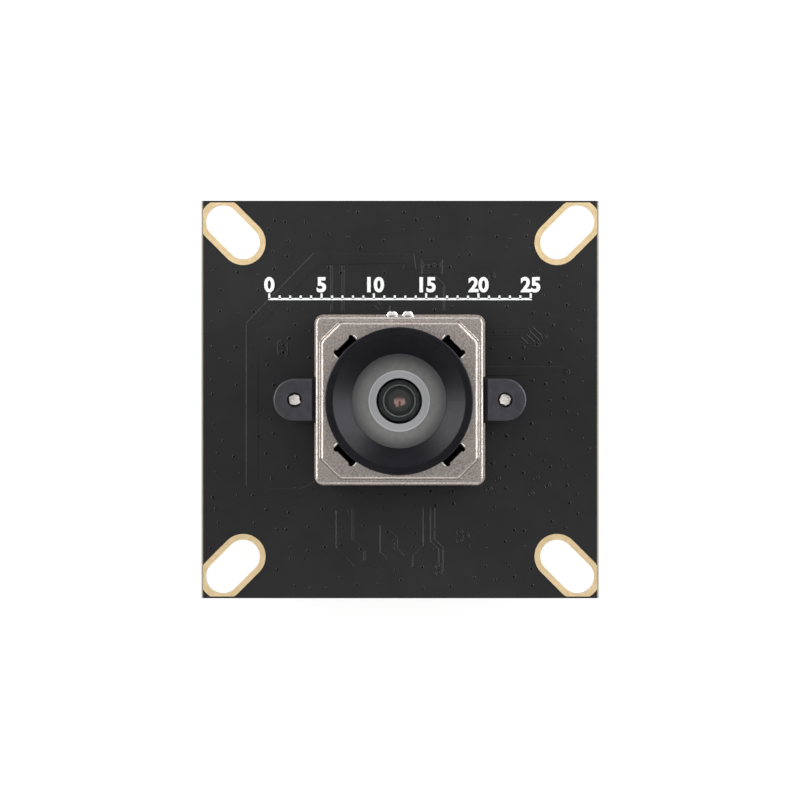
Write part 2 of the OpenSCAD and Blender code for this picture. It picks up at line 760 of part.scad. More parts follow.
module front_element() {
    color(GLASS) element(r = front_r, z0 = front_seat_z, z1 = retainer_z,
        face_r = front_r - 0.5, face_sag = front_sag, back_r = 1.7, back_sag = 0.45);
}

module aperture_stop() {
    color(BLACK) ring(front_r, stop_r, stop_z, front_seat_z);
}

module second_element() {
    color(GLASS) element(r = front_r, z0 = second_z, z1 = stop_z - 0.35,
        face_r = 1.8, face_sag = 0.25, back_r = 2.2, back_sag = 0.3);
}

module third_element() {
    color(GLASS) element(r = rear_r, z0 = third_z, z1 = third_top_z,
        face_r = 2.3, face_sag = 0.25, back_r = 2.8, back_sag = 0.4);
}

module rear_spacer() {
    color(BLACK) ring(rear_r, rear_r - 0.7, spacer_z, third_z);
}

module rear_element() {
    color(GLASS) element(r = rear_r, z0 = rear_z, z1 = spacer_z,
        face_r = 2.6, face_sag = 0.2, back_r = 2.9, back_sag = 0.3);
}

module rear_retainer() {
    color(BLACK) ring(rear_r, rear_r - 0.6, rear_ring_z, rear_z);
}

// ---- back of the board ----

// Gull-wing leads in a row along X, reaching from the body's side down to the board.
module lead_row(count, pitch, width, body_edge, body_h) {
    for (i = [0:count - 1]) translate([(i - (count - 1) / 2) * pitch - width / 2, body_edge, 0]) {
        translate([0, 0, -body_h / 2 - lead_t]) cube([width, lead_root, lead_t]);
        translate([0, lead_step, -body_h / 2 - lead_t]) cube([width, lead_t, body_h / 2 + lead_t]);
        translate([0, lead_step, -lead_t]) cube([width, lead_foot, lead_t]);
    }
}

// Chip body standing a little off the board's back.
module chip_body(w, d, h) {
    translate([-w / 2, -d / 2, -h]) cube([w, d, h - chip_lift]);
}

module video_processor() {
    dimple_at = 0.9;
    dimple_r = 0.35;
    dimple_depth = 0.1;
    color(BLACK) translate(processor_at) translate([-processor_w / 2, -processor_w / 2, -processor_h])
        difference() {
            cube([processor_w, processor_w, processor_h]);
            translate([dimple_at, processor_w - dimple_at, -overcut])
                cylinder(r = dimple_r, h = overcut + dimple_depth);
        }
}

module flash_memory() {
    color(BLACK) translate(flash_at) chip_body(flash_size[0], flash_size[1], flash_size[2]);
}

module flash_leads() {
    color(TIN) translate(flash_at) for (flip = [0, 1]) mirror([0, flip, 0])
        lead_row(4, flash_pitch, flash_lead_w, flash_size[1] / 2, flash_size[2]);
}

module motor_driver() {
    color(BLACK) translate(driver_at) translate([-driver_size[0] / 2, -driver_size[1] / 2, -driver_size[2]])
        cube(driver_size);
}

module voltage_regulators() {
    color(BLACK) for (place = regulators_at) translate(place)
        chip_body(regulator_size[0], regulator_size[1], regulator_size[2]);
}

module regulator_leads() {
    edge = regulator_size[1] / 2;
    color(TIN) for (place = regulators_at) translate(place) {
        lead_row(2, 2 * regulator_pitch, regulator_lead_w, edge, regulator_size[2]);
        mirror([0, 1, 0]) lead_row(3, regulator_pitch, regulator_lead_w, edge, regulator_size[2]);
    }
}

module crystal_can() {
    corner_share = 1.12;
    color(NICKEL) translate(crystal_at) translate([0, 0, -crystal_size[2]])
        linear_extrude(crystal_size[2]) intersection() {
            square([crystal_size[0], crystal_size[1]], center = true);
            rotate(45) square(crystal_size[0] * corner_share, center = true);
        }
}

module power_inductor() {
    groove_r = inductor_w * 0.45;
    groove_w = inductor_w * 0.05;
    groove_depth = 0.1;
    color("darkslategray") translate(inductor_at) difference() {
        translate([-inductor_w / 2, -inductor_w / 2, -inductor_h])
            cube([inductor_w, inductor_w, inductor_h]);
        translate([0, 0, -inductor_h - overcut])
            ring(groove_r, groove_r - groove_w, 0, overcut + groove_depth);
    }
}

// Repeats its children at every place of a list of rows.
module at_rows(rows) {
    for (row = rows, i = [0:row[2] - 1]) translate(row[0] + i * row[1]) children();
}

// Middle of a small chip part of the given height, its length along Y.
module chip_middle(h) {
    translate([-chip_w / 2, chip_end - chip_l / 2, -h]) cube([chip_w, chip_l - 2 * chip_end, h]);
}

// The two metal ends of a small chip part.
module chip_caps(h) {
    for (flip = [0, 1]) mirror([0, flip, 0])
        translate([-chip_w / 2, chip_l / 2 - chip_end, -h - face_gap / 2])
            cube([chip_w, chip_end, h + face_gap / 2]);
}

module capacitor_bodies() {
    color("tan") at_rows(capacitor_rows) chip_middle(capacitor_h);
}

module resistor_bodies() {
    color(BLACK) at_rows(resistor_rows) chip_middle(resistor_h);
}

module chip_ends() {
    color(TIN) {
        at_rows(capacitor_rows) chip_caps(capacitor_h);
        at_rows(resistor_rows) chip_caps(resistor_h);
    }
}

// ---- USB socket ----

// Repeats its children once for each contact.
module at_pins() {
    for (i = [0:pin_count - 1]) translate([(i - (pin_count - 1) / 2) * pin_pitch, 0, 0]) children();
}

module socket_housing() {
    cavity_d = socket_d - socket_back_t;
    latch_w = 1.2;
    latch_d = 2.2;
    color("ivory") difference() {
        translate([-socket_w / 2, socket_front_y, -socket_h]) cube([socket_w, socket_d, socket_h]);
        translate([socket_wall - socket_w / 2, socket_front_y - overcut, socket_wall - socket_h])
            cube([socket_w - 2 * socket_wall, cavity_d + overcut, socket_h - 2 * socket_wall]);
        for (side = [-1, 1])
            translate([side * (socket_w / 2 - socket_wall - latch_w) - latch_w / 2,
                socket_front_y - overcut, -socket_h - overcut])
                cube([latch_w, latch_d + overcut, socket_wall + 2 * overcut]);
        at_pins() translate([-pin_w / 2 - fit, socket_front_y, pin_z - pin_w / 2 - fit])
            cube([pin_w + 2 * fit, socket_d + overcut, pin_w + 2 * fit]);
    }
}

module socket_contacts() {
    color(GOLD) at_pins() translate([-pin_w / 2, 0, 0]) {
        translate([0, socket_front_y + pin_inset, pin_z - pin_w / 2])
            cube([pin_w, socket_d - pin_inset + tail_gap + tail_t / 2, pin_w]);
        translate([0, socket_back_y + tail_gap, pin_z - pin_w / 2])
            cube([pin_w, tail_t, -pin_z + pin_w / 2]);
        translate([0, socket_back_y + tail_gap, -tail_t]) cube([pin_w, tail_foot, tail_t]);
    }
}

module socket_anchors() {
    color(TIN) for (flip = [0, 1]) mirror([flip, 0, 0])
        translate([socket_w / 2, socket_front_y + anchor_inset, 0]) {
            translate([0, 0, -anchor_h]) cube([anchor_t, anchor_d, anchor_h]);
            translate([0, 0, -anchor_t]) cube([anchor_foot, anchor_d, anchor_t]);
        }
}

circuit_board();
slot_plating();
image_sensor();
sensor_cover_glass();
lens_holder();
ir_filter();
motor_base();
motor_can();
motor_magnets();
lower_leaf_spring();
upper_leaf_spring();
upper_spring_frame();
motor_terminals();
solder_joints();
holder_screws();
lens_carrier();
focus_coil();
lens_barrel();
front_retainer();
front_element();
aperture_stop();
second_element();
third_element();
rear_spacer();
rear_element();
rear_retainer();
video_processor();
flash_memory();
flash_leads();
motor_driver();
voltage_regulators();
regulator_leads();
crystal_can();
power_inductor();
capacitor_bodies();
resistor_bodies();
chip_ends();
socket_housing();
socket_contacts();
socket_anchors();
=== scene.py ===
# Autofocus USB camera module: finishes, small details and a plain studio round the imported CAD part.
import json
import math
import random
import bmesh
import bpy
from mathutils import Matrix, Vector


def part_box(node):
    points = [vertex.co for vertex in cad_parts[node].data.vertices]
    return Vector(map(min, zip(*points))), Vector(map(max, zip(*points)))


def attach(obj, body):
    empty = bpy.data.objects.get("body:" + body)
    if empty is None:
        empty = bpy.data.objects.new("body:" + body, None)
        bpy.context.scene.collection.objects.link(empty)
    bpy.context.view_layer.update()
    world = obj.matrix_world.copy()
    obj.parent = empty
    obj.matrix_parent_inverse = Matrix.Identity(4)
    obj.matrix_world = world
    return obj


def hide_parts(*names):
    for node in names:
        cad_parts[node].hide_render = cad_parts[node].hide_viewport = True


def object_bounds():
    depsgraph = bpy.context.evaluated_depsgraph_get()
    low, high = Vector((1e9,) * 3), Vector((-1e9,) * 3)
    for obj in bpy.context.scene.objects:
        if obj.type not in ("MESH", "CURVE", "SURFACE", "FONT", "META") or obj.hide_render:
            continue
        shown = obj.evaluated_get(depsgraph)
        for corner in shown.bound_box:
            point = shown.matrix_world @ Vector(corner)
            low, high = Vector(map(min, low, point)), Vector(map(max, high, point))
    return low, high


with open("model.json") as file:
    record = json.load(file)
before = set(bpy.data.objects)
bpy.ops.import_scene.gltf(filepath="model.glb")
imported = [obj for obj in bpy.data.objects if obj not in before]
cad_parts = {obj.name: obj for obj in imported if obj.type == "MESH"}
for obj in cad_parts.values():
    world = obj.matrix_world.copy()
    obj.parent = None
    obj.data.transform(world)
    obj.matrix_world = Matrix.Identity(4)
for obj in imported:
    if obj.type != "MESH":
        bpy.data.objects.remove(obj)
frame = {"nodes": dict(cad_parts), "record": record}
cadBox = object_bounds()
nodes = frame["nodes"]
scene = bpy.context.scene
scene.view_settings.view_transform = "Standard"
mm = 0.001

# places that the CAD part gives
boardLow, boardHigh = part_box("circuit_board")
solderLow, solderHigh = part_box("solder_joints")
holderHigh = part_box("lens_holder")[1]
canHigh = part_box("motor_can")[1]
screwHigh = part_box("holder_screws")[1]
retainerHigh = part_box("front_retainer")[1]
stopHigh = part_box("aperture_stop")[1]
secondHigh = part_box("second_element")[1]
boardHalf = boardHigh.x
boardTop = boardHigh.z
boardBack = boardLow.z
print("frame loaded,", len(nodes), "nodes")

# settings that many nodes share
mixColour = {"data_type": "RGBA"}
softStep = {"interpolation_type": "SMOOTHSTEP"}
product = {"operation": "MULTIPLY"}
unsigned = {"operation": "ABSOLUTE"}
above = {"operation": "GREATER_THAN"}
below = {"operation": "LESS_THAN"}
larger = {"operation": "MAXIMUM"}
length = {"operation": "LENGTH"}
levelOnly = (1, 1, 0)
bandPeriod = 0.314  # a wave texture of scale 1 repeats after this length


def linearColour(hexText):
    # an sRGB hex value on the linear scale that the nodes want
    channels = [int(hexText[i:i + 2], 16) / 255 for i in (0, 2, 4)]
    return [c / 12.92 if c <= 0.04045 else ((c + 0.055) / 1.055) ** 2.4 for c in channels] + [1]


def addNode(tree, kind, settings=None, inputs=None):
    node = tree.nodes.new(kind)
    for name, value in (settings or {}).items():
        setattr(node, name, value)
    for name, value in (inputs or {}).items():
        if isinstance(value, bpy.types.NodeSocket):
            tree.links.new(value, node.inputs[name])
        else:
            node.inputs[name].default_value = value
    return node


# what all finishes share: the stretches of noise that make clouds and wear, and how much wider the wear is
noiseSet = {"clouds": {"From Min": 0.35, "From Max": 0.65}, "wear": {"From Min": 0.3, "From Max": 0.7},
            "wider": 6, "cloudDetail": 4, "fineDetail": 2}


def makeFinish(name, finish):
    # one principled shader: two close tones in clouds, a roughness that wanders and a fine relief.
    # grain and relief are (size, amount) in millimetres; even values go straight onto the shader's sockets
    material = bpy.data.materials.new(name)
    material.use_nodes = True
    tree = material.node_tree
    tree.nodes.clear()
    place = addNode(tree, "ShaderNodeTexCoord")
    where = addNode(tree, "ShaderNodeVectorMath", {"operation": "SCALE"},
                    {0: place.outputs["Object"], "Scale": 1 / mm}).outputs[0]
    dark, light = (linearColour(tone) for tone in finish["tones"])
    clouds = addNode(tree, "ShaderNodeTexNoise", inputs={
        "Vector": where, "Scale": 1 / finish["grain"], "Detail": noiseSet["cloudDetail"]})
    spread = addNode(tree, "ShaderNodeMapRange", inputs={"Value": clouds.outputs[0], **noiseSet["clouds"]})
    tone = addNode(tree, "ShaderNodeMix", mixColour, {"Factor": spread.outputs[0], "A": dark, "B": light})
    shader = addNode(tree, "ShaderNodeBsdfPrincipled", inputs={"Base Color": tone.outputs[2]})
    for socket, value in finish.get("sockets", {}).items():
        shader.inputs[socket].default_value = value
    if "rough" in finish:
        low, high = finish["rough"]
        worn = addNode(tree, "ShaderNodeTexNoise", inputs={
            "Vector": where, "Scale": 1 / (noiseSet["wider"] * finish["grain"]),
            "Detail": noiseSet["fineDetail"]})
        gloss = addNode(tree, "ShaderNodeMapRange", inputs={
            "Value": worn.outputs[0], **noiseSet["wear"], "To Min": low, "To Max": high})
        tree.links.new(gloss.outputs[0], shader.inputs["Roughness"])
    bump = None
    if "relief" in finish:
        fineness, depth = finish["relief"]
        skin = addNode(tree, "ShaderNodeTexNoise", inputs={
            "Vector": where, "Scale": 1 / fineness, "Detail": noiseSet["fineDetail"]})
        bump = addNode(tree, "ShaderNodeBump", inputs={"Height": skin.outputs[0], "Distance": depth * mm})
        tree.links.new(bump.outputs[0], shader.inputs["Normal"])
    addNode(tree, "ShaderNodeOutputMaterial", inputs={"Surface": shader.outputs[0]})
    return {"material": material, "tree": tree, "shader": shader, "where": where,
            "normal": place.outputs["Normal"], "tone": tone.outputs[2], "bump": bump}


def turnedRings(made, pitch, depth):
    # the lathe's feed marks: rings about the lens axis, laid over the finish's own relief
    tree = made["tree"]
    level = addNode(tree, "ShaderNodeVectorMath", product, {0: made["where"], 1: levelOnly})
    radius = addNode(tree, "ShaderNodeVectorMath", length, {0: level.outputs[0]}).outputs["Value"]
    turn = addNode(tree, "ShaderNodeMath", product, {0: radius, 1: 2 * math.pi / pitch})
    wave = addNode(tree, "ShaderNodeMath", {"operation": "SINE"}, {0: turn.outputs[0]})
    marks = addNode(tree, "ShaderNodeBump", inputs={"Height": wave.outputs[0], "Distance": depth * mm})
    if made["bump"]:
        tree.links.new(made["bump"].outputs[0], marks.inputs["Normal"])
    tree.links.new(marks.outputs[0], made["shader"].inputs["Normal"])
    return radius, wave.outputs[0]


materials = {}

# black liquid photo-imageable solder mask over woven glass: satin with a faint orange peel, and the plies of
# bare glass-epoxy laminate on the scored and milled edges, where a face near the outline isn't level
maskSet = {"tones": ("121214", "18181a"), "grain": 3.0, "relief": (0.25, 0.005), "rough": (0.46, 0.54),
           "sockets": {"Specular IOR Level": 0.42}}
laminateSet = {"dark": "6b6353", "light": "857d6e", "ply": 0.2, "waver": 2.5, "edge": 0.2, "upright": 0.9}
made = makeFinish("solderMask", maskSet)
tree = made["tree"]
facing = addNode(tree, "ShaderNodeSeparateXYZ", inputs={0: made["normal"]})
upright = addNode(tree, "ShaderNodeMath", unsigned, {0: facing.outputs["Z"]})
leaning = addNode(tree, "ShaderNodeMath", below, {0: upright.outputs[0], 1: laminateSet["upright"]})
reach = addNode(tree, "ShaderNodeVectorMath", unsigned, {0: made["where"]})
reachParts = addNode(tree, "ShaderNodeSeparateXYZ", inputs={0: reach.outputs[0]})
widest = addNode(tree, "ShaderNodeMath", larger, {0: reachParts.outputs["X"], 1: reachParts.outputs["Y"]})
outer = addNode(tree, "ShaderNodeMath", above,
                {0: widest.outputs[0], 1: boardHalf / mm - laminateSet["edge"]})
isEdge = addNode(tree, "ShaderNodeMath", product, {0: leaning.outputs[0], 1: outer.outputs[0]})
plies = addNode(tree, "ShaderNodeTexWave", {"bands_direction": "Z"},
                {"Vector": made["where"], "Scale": bandPeriod / laminateSet["ply"],
                 "Distortion": laminateSet["waver"], "Detail": 2})
laminate = addNode(tree, "ShaderNodeMix", mixColour,
                   {"Factor": plies.outputs[1], "A": linearColour(laminateSet["dark"]),
                    "B": linearColour(laminateSet["light"])})
both = addNode(tree, "ShaderNodeMix", mixColour,
               {"Factor": isEdge.outputs[0], "A": made["tone"], "B": laminate.outputs[2]})
tree.links.new(both.outputs[2], made["shader"].inputs["Base Color"])
materials["solder_mask"] = made["material"]

# immersion gold over nickel on the slot lands: soft sheen, pale because the layer is thin
goldSet = {"tones": ("dbc193", "e5cda3"), "grain": 0.5, "relief": (0.08, 0.004), "rough": (0.38, 0.5),
           "sockets": {"Metallic": 0.35}}
materials["gold_plate"] = makeFinish("immersionGold", goldSet)["material"]

# transfer-moulded black epoxy of chip packages: fine mineral grain, dull
epoxySet = {"tones": ("161617", "232324"), "grain": 0.15, "relief": (0.06, 0.006), "rough": (0.55, 0.66),
            "sockets": {"Specular IOR Level": 0.4}}
materials["chip_epoxy"] = makeFinish("mouldedEpoxy", epoxySet)["material"]

# front element: optical glass under a green anti-reflection coating
frontGlassSet = {"tones": ("e6f0ea", "f0f7f3"), "grain": 2.0, "sockets": {
    "Transmission Weight": 1.0, "IOR": 1.5, "Roughness": 0.01, "Specular IOR Level": 0.25}}
materials["coated_glass"] = makeFinish("coatedLensGlass", frontGlassSet)["material"]

# inner elements: glass tinted dark, a painted shade for the dark inside of the lens, with a painted rose
# reflection in the pupil.
# the painted reflection is a ragged disc on the second element's face, dark above and notched from below,
# with a faint painted glow
# the two dark tones are painted shade, standing in for the dark inside of the lens
innerGlassPaintedShadeSet = {"tones": ("172421", "1f2d28"), "grain": 1.2, "sockets": {
    "Transmission Weight": 0.9, "IOR": 1.5, "Roughness": 0.03, "Specular IOR Level": 0.3}}
pupilPaintedReflectionSet = {"radius": 0.62, "outside": 0.12, "inside": 0.02, "centre": (0.02, -0.02), "face": 0.06,
            "top": "4c2623", "bottom": "eeaead", "paintedGlow": 0.07, "chips": 0.3, "ragged": 0.25,
            "fade": {"From Min": 0.45, "From Max": -0.1}, "notchSides": {"From Min": 0.16, "From Max": 0.02},
            "notchTop": {"From Min": 0.02, "From Max": -0.08}}
made = makeFinish("innerLensGlassPaintedShadeAndReflection", innerGlassPaintedShadeSet)
tree = made["tree"]
across = addNode(tree, "ShaderNodeVectorMath", {"operation": "SUBTRACT"},
                 {0: made["where"], 1: (*pupilPaintedReflectionSet["centre"], 0)})
level = addNode(tree, "ShaderNodeVectorMath", product, {0: across.outputs[0], 1: levelOnly})
away = addNode(tree, "ShaderNodeVectorMath", length, {0: level.outputs[0]})
sides = addNode(tree, "ShaderNodeSeparateXYZ", inputs={0: across.outputs[0]})
falling = addNode(tree, "ShaderNodeMapRange", softStep, {"Value": sides.outputs["Y"], **pupilPaintedReflectionSet["fade"]})
fading = addNode(tree, "ShaderNodeMix", mixColour,
                 {"Factor": falling.outputs[0], "A": linearColour(pupilPaintedReflectionSet["top"]),
                  "B": linearColour(pupilPaintedReflectionSet["bottom"])})
beside = addNode(tree, "ShaderNodeMath", unsigned, {0: sides.outputs["X"]})
inNotch = addNode(tree, "ShaderNodeMapRange", inputs={"Value": beside.outputs[0], **pupilPaintedReflectionSet["notchSides"]})
lowHalf = addNode(tree, "ShaderNodeMapRange", inputs={"Value": sides.outputs["Y"], **pupilPaintedReflectionSet["notchTop"]})
notch = addNode(tree, "ShaderNodeMath", product, {0: inNotch.outputs[0], 1: lowHalf.outputs[0]})
paintedRoseReflection = addNode(tree, "ShaderNodeMix", mixColour,
               {"Factor": notch.outputs[0], "A": fading.outputs[2], "B": linearColour(pupilPaintedReflectionSet["top"])})
chips = addNode(tree, "ShaderNodeTexVoronoi",
                inputs={"Vector": made["where"], "Scale": 1 / pupilPaintedReflectionSet["chips"]})
broken = addNode(tree, "ShaderNodeMath", {"operation": "MULTIPLY_ADD"},
                 {0: chips.outputs["Distance"], 1: pupilPaintedReflectionSet["ragged"], 2: away.outputs["Value"]})
inDisc = addNode(tree, "ShaderNodeMapRange", softStep,
                 {"Value": broken.outputs[0], "From Min": pupilPaintedReflectionSet["radius"] + pupilPaintedReflectionSet["outside"],
                  "From Max": pupilPaintedReflectionSet["radius"] - pupilPaintedReflectionSet["inside"]})
height = addNode(tree, "ShaderNodeSeparateXYZ", inputs={0: made["where"]})
onFace = addNode(tree, "ShaderNodeMath", above,
                 {0: height.outputs["Z"], 1: secondHigh.z / mm - pupilPaintedReflectionSet["face"]})
# painted reflection: a rose disc, dark above and bright below, mixed into the colour, made metallic and given
# a faint glow
paintedGlint = addNode(tree, "ShaderNodeMath", product, {0: inDisc.outputs[0], 1: onFace.outputs[0]})
colour = addNode(tree, "ShaderNodeMix", mixColour,
                 {"Factor": paintedGlint.outputs[0], "A": made["tone"], "B": paintedRoseReflection.outputs[2]})
paintedGlow = addNode(tree, "ShaderNodeMath", product, {0: paintedGlint.outputs[0], 1: pupilPaintedReflectionSet["paintedGlow"]})
tree.links.new(colour.outputs[2], made["shader"].inputs["Base Color"])
tree.links.new(paintedGlint.outputs[0], made["shader"].inputs["Metallic"])
tree.links.new(colour.outputs[2], made["shader"].inputs["Emission Color"])
tree.links.new(paintedGlow.outputs[0], made["shader"].inputs["Emission Strength"])
materials["clear_glass"] = made["material"]

# infrared-cut filter: blue-green glass
filterSet = {"tones": ("3f6a66", "4a7772"), "grain": 2.0,
             "sockets": {"Transmission Weight": 0.7, "IOR": 1.52, "Roughness": 0.03}}
materials["filter_glass"] = makeFinish("infraredCutGlass", filterSet)["material"]

# glass-filled black nylon of the lens holder, with a spark-eroded tool texture
nylonSet = {"tones": ("2e2e35", "393941"), "grain": 0.7, "relief": (0.07, 0.012), "rough": (0.5, 0.6),
            "sockets": {"Specular IOR Level": 0.45}}
materials["holder_plastic"] = makeFinish("mouldedNylon", nylonSet)["material"]

# liquid-crystal polymer of the motor's frame and carrier, smoother and blacker
polymerSet = {"tones": ("0b0b0c", "121213"), "grain": 0.5, "relief": (0.3, 0.004), "rough": (0.5, 0.6),
              "sockets": {"Specular IOR Level": 0.25}}
materials["motor_plastic"] = makeFinish("liquidCrystalPolymer", polymerSet)["material"]

# nickel-plated steel sheet, deep drawn: a matt warm skin, peppered with fine dark pits from the press
canSet = {"tones": ("a69c96", "d2c9c3"), "grain": 0.16, "relief": (0.1, 0.006), "rough": (0.26, 0.34),
          "sockets": {"Metallic": 0.78}}
pitSet = {"size": 0.13, "tone": "5f5853", "patch": 2.2, "patchSpread": {"From Min": 0.42, "From Max": 0.58},
          "spread": {"From Min": 0.36, "From Max": 0.44, "To Min": 0.8, "To Max": 0}}
made = makeFinish("drawnNickelPlate", canSet)
tree = made["tree"]
pepper = addNode(tree, "ShaderNodeTexNoise", inputs={
    "Vector": made["where"], "Scale": 1 / pitSet["size"], "Detail": 5, "Roughness": 0.7})
pits = addNode(tree, "ShaderNodeMapRange", inputs={"Value": pepper.outputs[0], **pitSet["spread"]})
patches = addNode(tree, "ShaderNodeTexNoise", inputs={
    "Vector": made["where"], "Scale": 1 / pitSet["patch"], "Detail": 1})
rubbed = addNode(tree, "ShaderNodeMapRange", inputs={"Value": patches.outputs[0], **pitSet["patchSpread"]})
shown = addNode(tree, "ShaderNodeMath", product, {0: pits.outputs[0], 1: rubbed.outputs[0]})
skin = addNode(tree, "ShaderNodeMix", mixColour,
               {"Factor": shown.outputs[0], "A": made["tone"], "B": linearColour(pitSet["tone"])})
tree.links.new(skin.outputs[2], made["shader"].inputs["Base Color"])
materials["nickel_sheet"] = made["material"]

# nickel-plated magnet blocks
magnetSet = {"tones": ("7f7c78", "95928e"), "grain": 0.6, "rough": (0.28, 0.36), "sockets": {"Metallic": 1.0}}
materials["magnet_nickel"] = makeFinish("platedMagnet", magnetSet)["material"]

# rolled bronze leaf springs
bronzeSet = {"tones": ("ad7f52", "c29465"), "grain": 0.5, "rough": (0.26, 0.34), "sockets": {"Metallic": 1.0}}
materials["spring_bronze"] = makeFinish("rolledBronze", bronzeSet)["material"]

# matt tin plate on leads and terminals
tinSet = {"tones": ("a6a5a1", "c6c5c1"), "grain": 0.12, "relief": (0.06, 0.004), "rough": (0.34, 0.42),
          "sockets": {"Metallic": 1.0}}
materials["tinned_lead"] = makeFinish("mattTin", tinSet)["material"]

# tin solder, wetted and bright
solderSet = {"tones": ("ecebe8", "f8f7f5"), "grain": 0.3, "relief": (0.25, 0.006), "rough": (0.25, 0.35),
             "sockets": {"Metallic": 0.4}}
materials["solder"] = makeFinish("tinSolder", solderSet)["material"]

# nickel-plated steel screws: bright and faintly warm
screwSet = {"tones": ("d8d5cf", "f8f6f2"), "grain": 0.2, "relief": (0.12, 0.01), "rough": (0.22, 0.32),
            "sockets": {"Metallic": 0.25}}
materials["screw_steel"] = makeFinish("nickelPlatedSteel", screwSet)["material"]

# enamelled copper wire of the coil, wound in layers
coilSet = {"tones": ("a35a33", "bd7044"), "grain": 0.4, "rough": (0.26, 0.34), "sockets": {"Metallic": 0.8},
           "wire": 0.06, "groove": 0.02}
made = makeFinish("enamelledCopper", coilSet)
turns = addNode(made["tree"], "ShaderNodeTexWave", {"bands_direction": "Z"},
                {"Vector": made["where"], "Scale": bandPeriod / coilSet["wire"]})
marks = addNode(made["tree"], "ShaderNodeBump",
                inputs={"Height": turns.outputs[1], "Distance": coilSet["groove"] * mm})
made["tree"].links.new(marks.outputs[0], made["shader"].inputs["Normal"])
materials["coil_copper"] = made["material"]

# black anodised aluminium of the barrel and hood, blasted and then turned.
# its feed marks are drawn 0.12 mm apart, twice as coarse as they are, so that they show
barrelSet = {"tones": ("0e0e12", "131317"), "grain": 1.2, "relief": (0.06, 0.002), "rough": (0.4, 0.48),
             "sockets": {"Specular IOR Level": 0.18, "Specular Tint": (0.95, 0.93, 1, 1)},
             "feed": 0.12, "feedDepth": 0.0015}
made = makeFinish("blackAnodised", barrelSet)
turnedRings(made, barrelSet["feed"], barrelSet["feedDepth"])
materials["barrel_black"] = made["material"]

# grey anodised retainer: turned dish with painted shade that darkens it outwards, and a polished countersink
# with a painted highlight on its lip.
# the feed marks are drawn at the same coarse pitch
retainerSet = {"tones": ("6c6c6b", "747473"), "grain": 0.5, "relief": (0.06, 0.002), "rough": (0.45, 0.55),
               "sockets": {"Specular IOR Level": 0.3}, "feed": 0.12, "feedDepth": 0.0015,
               "outer": "3b3b3c", "sink": "9b9b9d", "lipHighlight": "b9b9bb", "sinkRadius": 2.84,
               "dishEdge": 0.1, "lipBand": (0.12, 0.02), "sinkBand": (0.03, 0.01)}
made = makeFinish("greyAnodised", retainerSet)
tree = made["tree"]
radius = turnedRings(made, retainerSet["feed"], retainerSet["feedDepth"])[0]
sinkRadius = retainerSet["sinkRadius"]
# painted shade: towards the rim the dish goes over to the darker outer tone
outward = addNode(tree, "ShaderNodeMapRange", softStep,
                  {"Value": radius, "From Min": sinkRadius + retainerSet["dishEdge"],
                   "From Max": retainerHigh.x / mm + retainerSet["dishEdge"]})
paintedDishShade = addNode(tree, "ShaderNodeMix", mixColour,
               {"Factor": outward.outputs[0], "A": made["tone"], "B": linearColour(retainerSet["outer"])})
# painted highlight: a brighter band at the countersink's outer edge, its lip
lipHighlightBand = addNode(tree, "ShaderNodeMapRange", inputs={
    "Value": radius, "From Min": sinkRadius - retainerSet["lipBand"][0],
    "From Max": sinkRadius - retainerSet["lipBand"][1]})
sink = addNode(tree, "ShaderNodeMix", mixColour,
               {"Factor": lipHighlightBand.outputs[0], "A": linearColour(retainerSet["sink"]),
                "B": linearColour(retainerSet["lipHighlight"])})
inSink = addNode(tree, "ShaderNodeMapRange", inputs={
    "Value": radius, "From Min": sinkRadius + retainerSet["sinkBand"][0],
    "From Max": sinkRadius - retainerSet["sinkBand"][1]})
tone = addNode(tree, "ShaderNodeMix", mixColour,
               {"Factor": inSink.outputs[0], "A": paintedDishShade.outputs[2], "B": sink.outputs[2]})
tree.links.new(tone.outputs[2], made["shader"].inputs["Base Color"])
materials["retainer_grey"] = made["material"]

# black oxide foil of the stop, with the fine rings that its press leaves; their crests are painted lighter
# towards the rim, a painted highlight
foilSet = {"tones": ("4a4d52", "585b60"), "grain": 0.6, "rough": (0.45, 0.55),
           "sockets": {"Specular IOR Level": 0.2}, "ring": "8a8e93", "ringPitch": 0.2, "ringDepth": 0.001,
           "crest": {"From Min": 0.5, "From Max": 1.0}, "outwards": {"From Min": 1.75, "From Max": 1.95}}
made = makeFinish("blackFoil", foilSet)
tree = made["tree"]
radius, wave = turnedRings(made, foilSet["ringPitch"], foilSet["ringDepth"])
# painted highlight: the crests of the ring relief take the lighter ring tone
paintedCrestHighlight = addNode(tree, "ShaderNodeMapRange", inputs={"Value": wave, **foilSet["crest"]})
band = addNode(tree, "ShaderNodeMapRange", inputs={"Value": radius, **foilSet["outwards"]})
shown = addNode(tree, "ShaderNodeMath", product, {0: paintedCrestHighlight.outputs[0], 1: band.outputs[0]})
tone = addNode(tree, "ShaderNodeMix", mixColour,
               {"Factor": shown.outputs[0], "A": made["tone"], "B": linearColour(foilSet["ring"])})
tree.links.new(tone.outputs[2], made["shader"].inputs["Base Color"])
materials["stop_foil"] = made["material"]

# stamped nickel lid of the crystal
lidSet = {"tones": ("a6a49f", "bebcb7"), "grain": 0.5, "relief": (0.1, 0.004), "rough": (0.26, 0.34),
          "sockets": {"Metallic": 1.0}}
materials["crystal_metal"] = makeFinish("stampedLid", lidSet)["material"]

# sintered ferrite of the inductor
ferriteSet = {"tones": ("303234", "46484a"), "grain": 0.12, "relief": (0.09, 0.015), "rough": (0.6, 0.7)}
materials["inductor_ferrite"] = makeFinish("sinteredFerrite", ferriteSet)["material"]

# fired ceramic of the capacitors
ceramicSet = {"tones": ("8d6f52", "a5876a"), "grain": 0.2, "rough": (0.4, 0.5)}
materials["capacitor_ceramic"] = makeFinish("firedCeramic", ceramicSet)["material"]

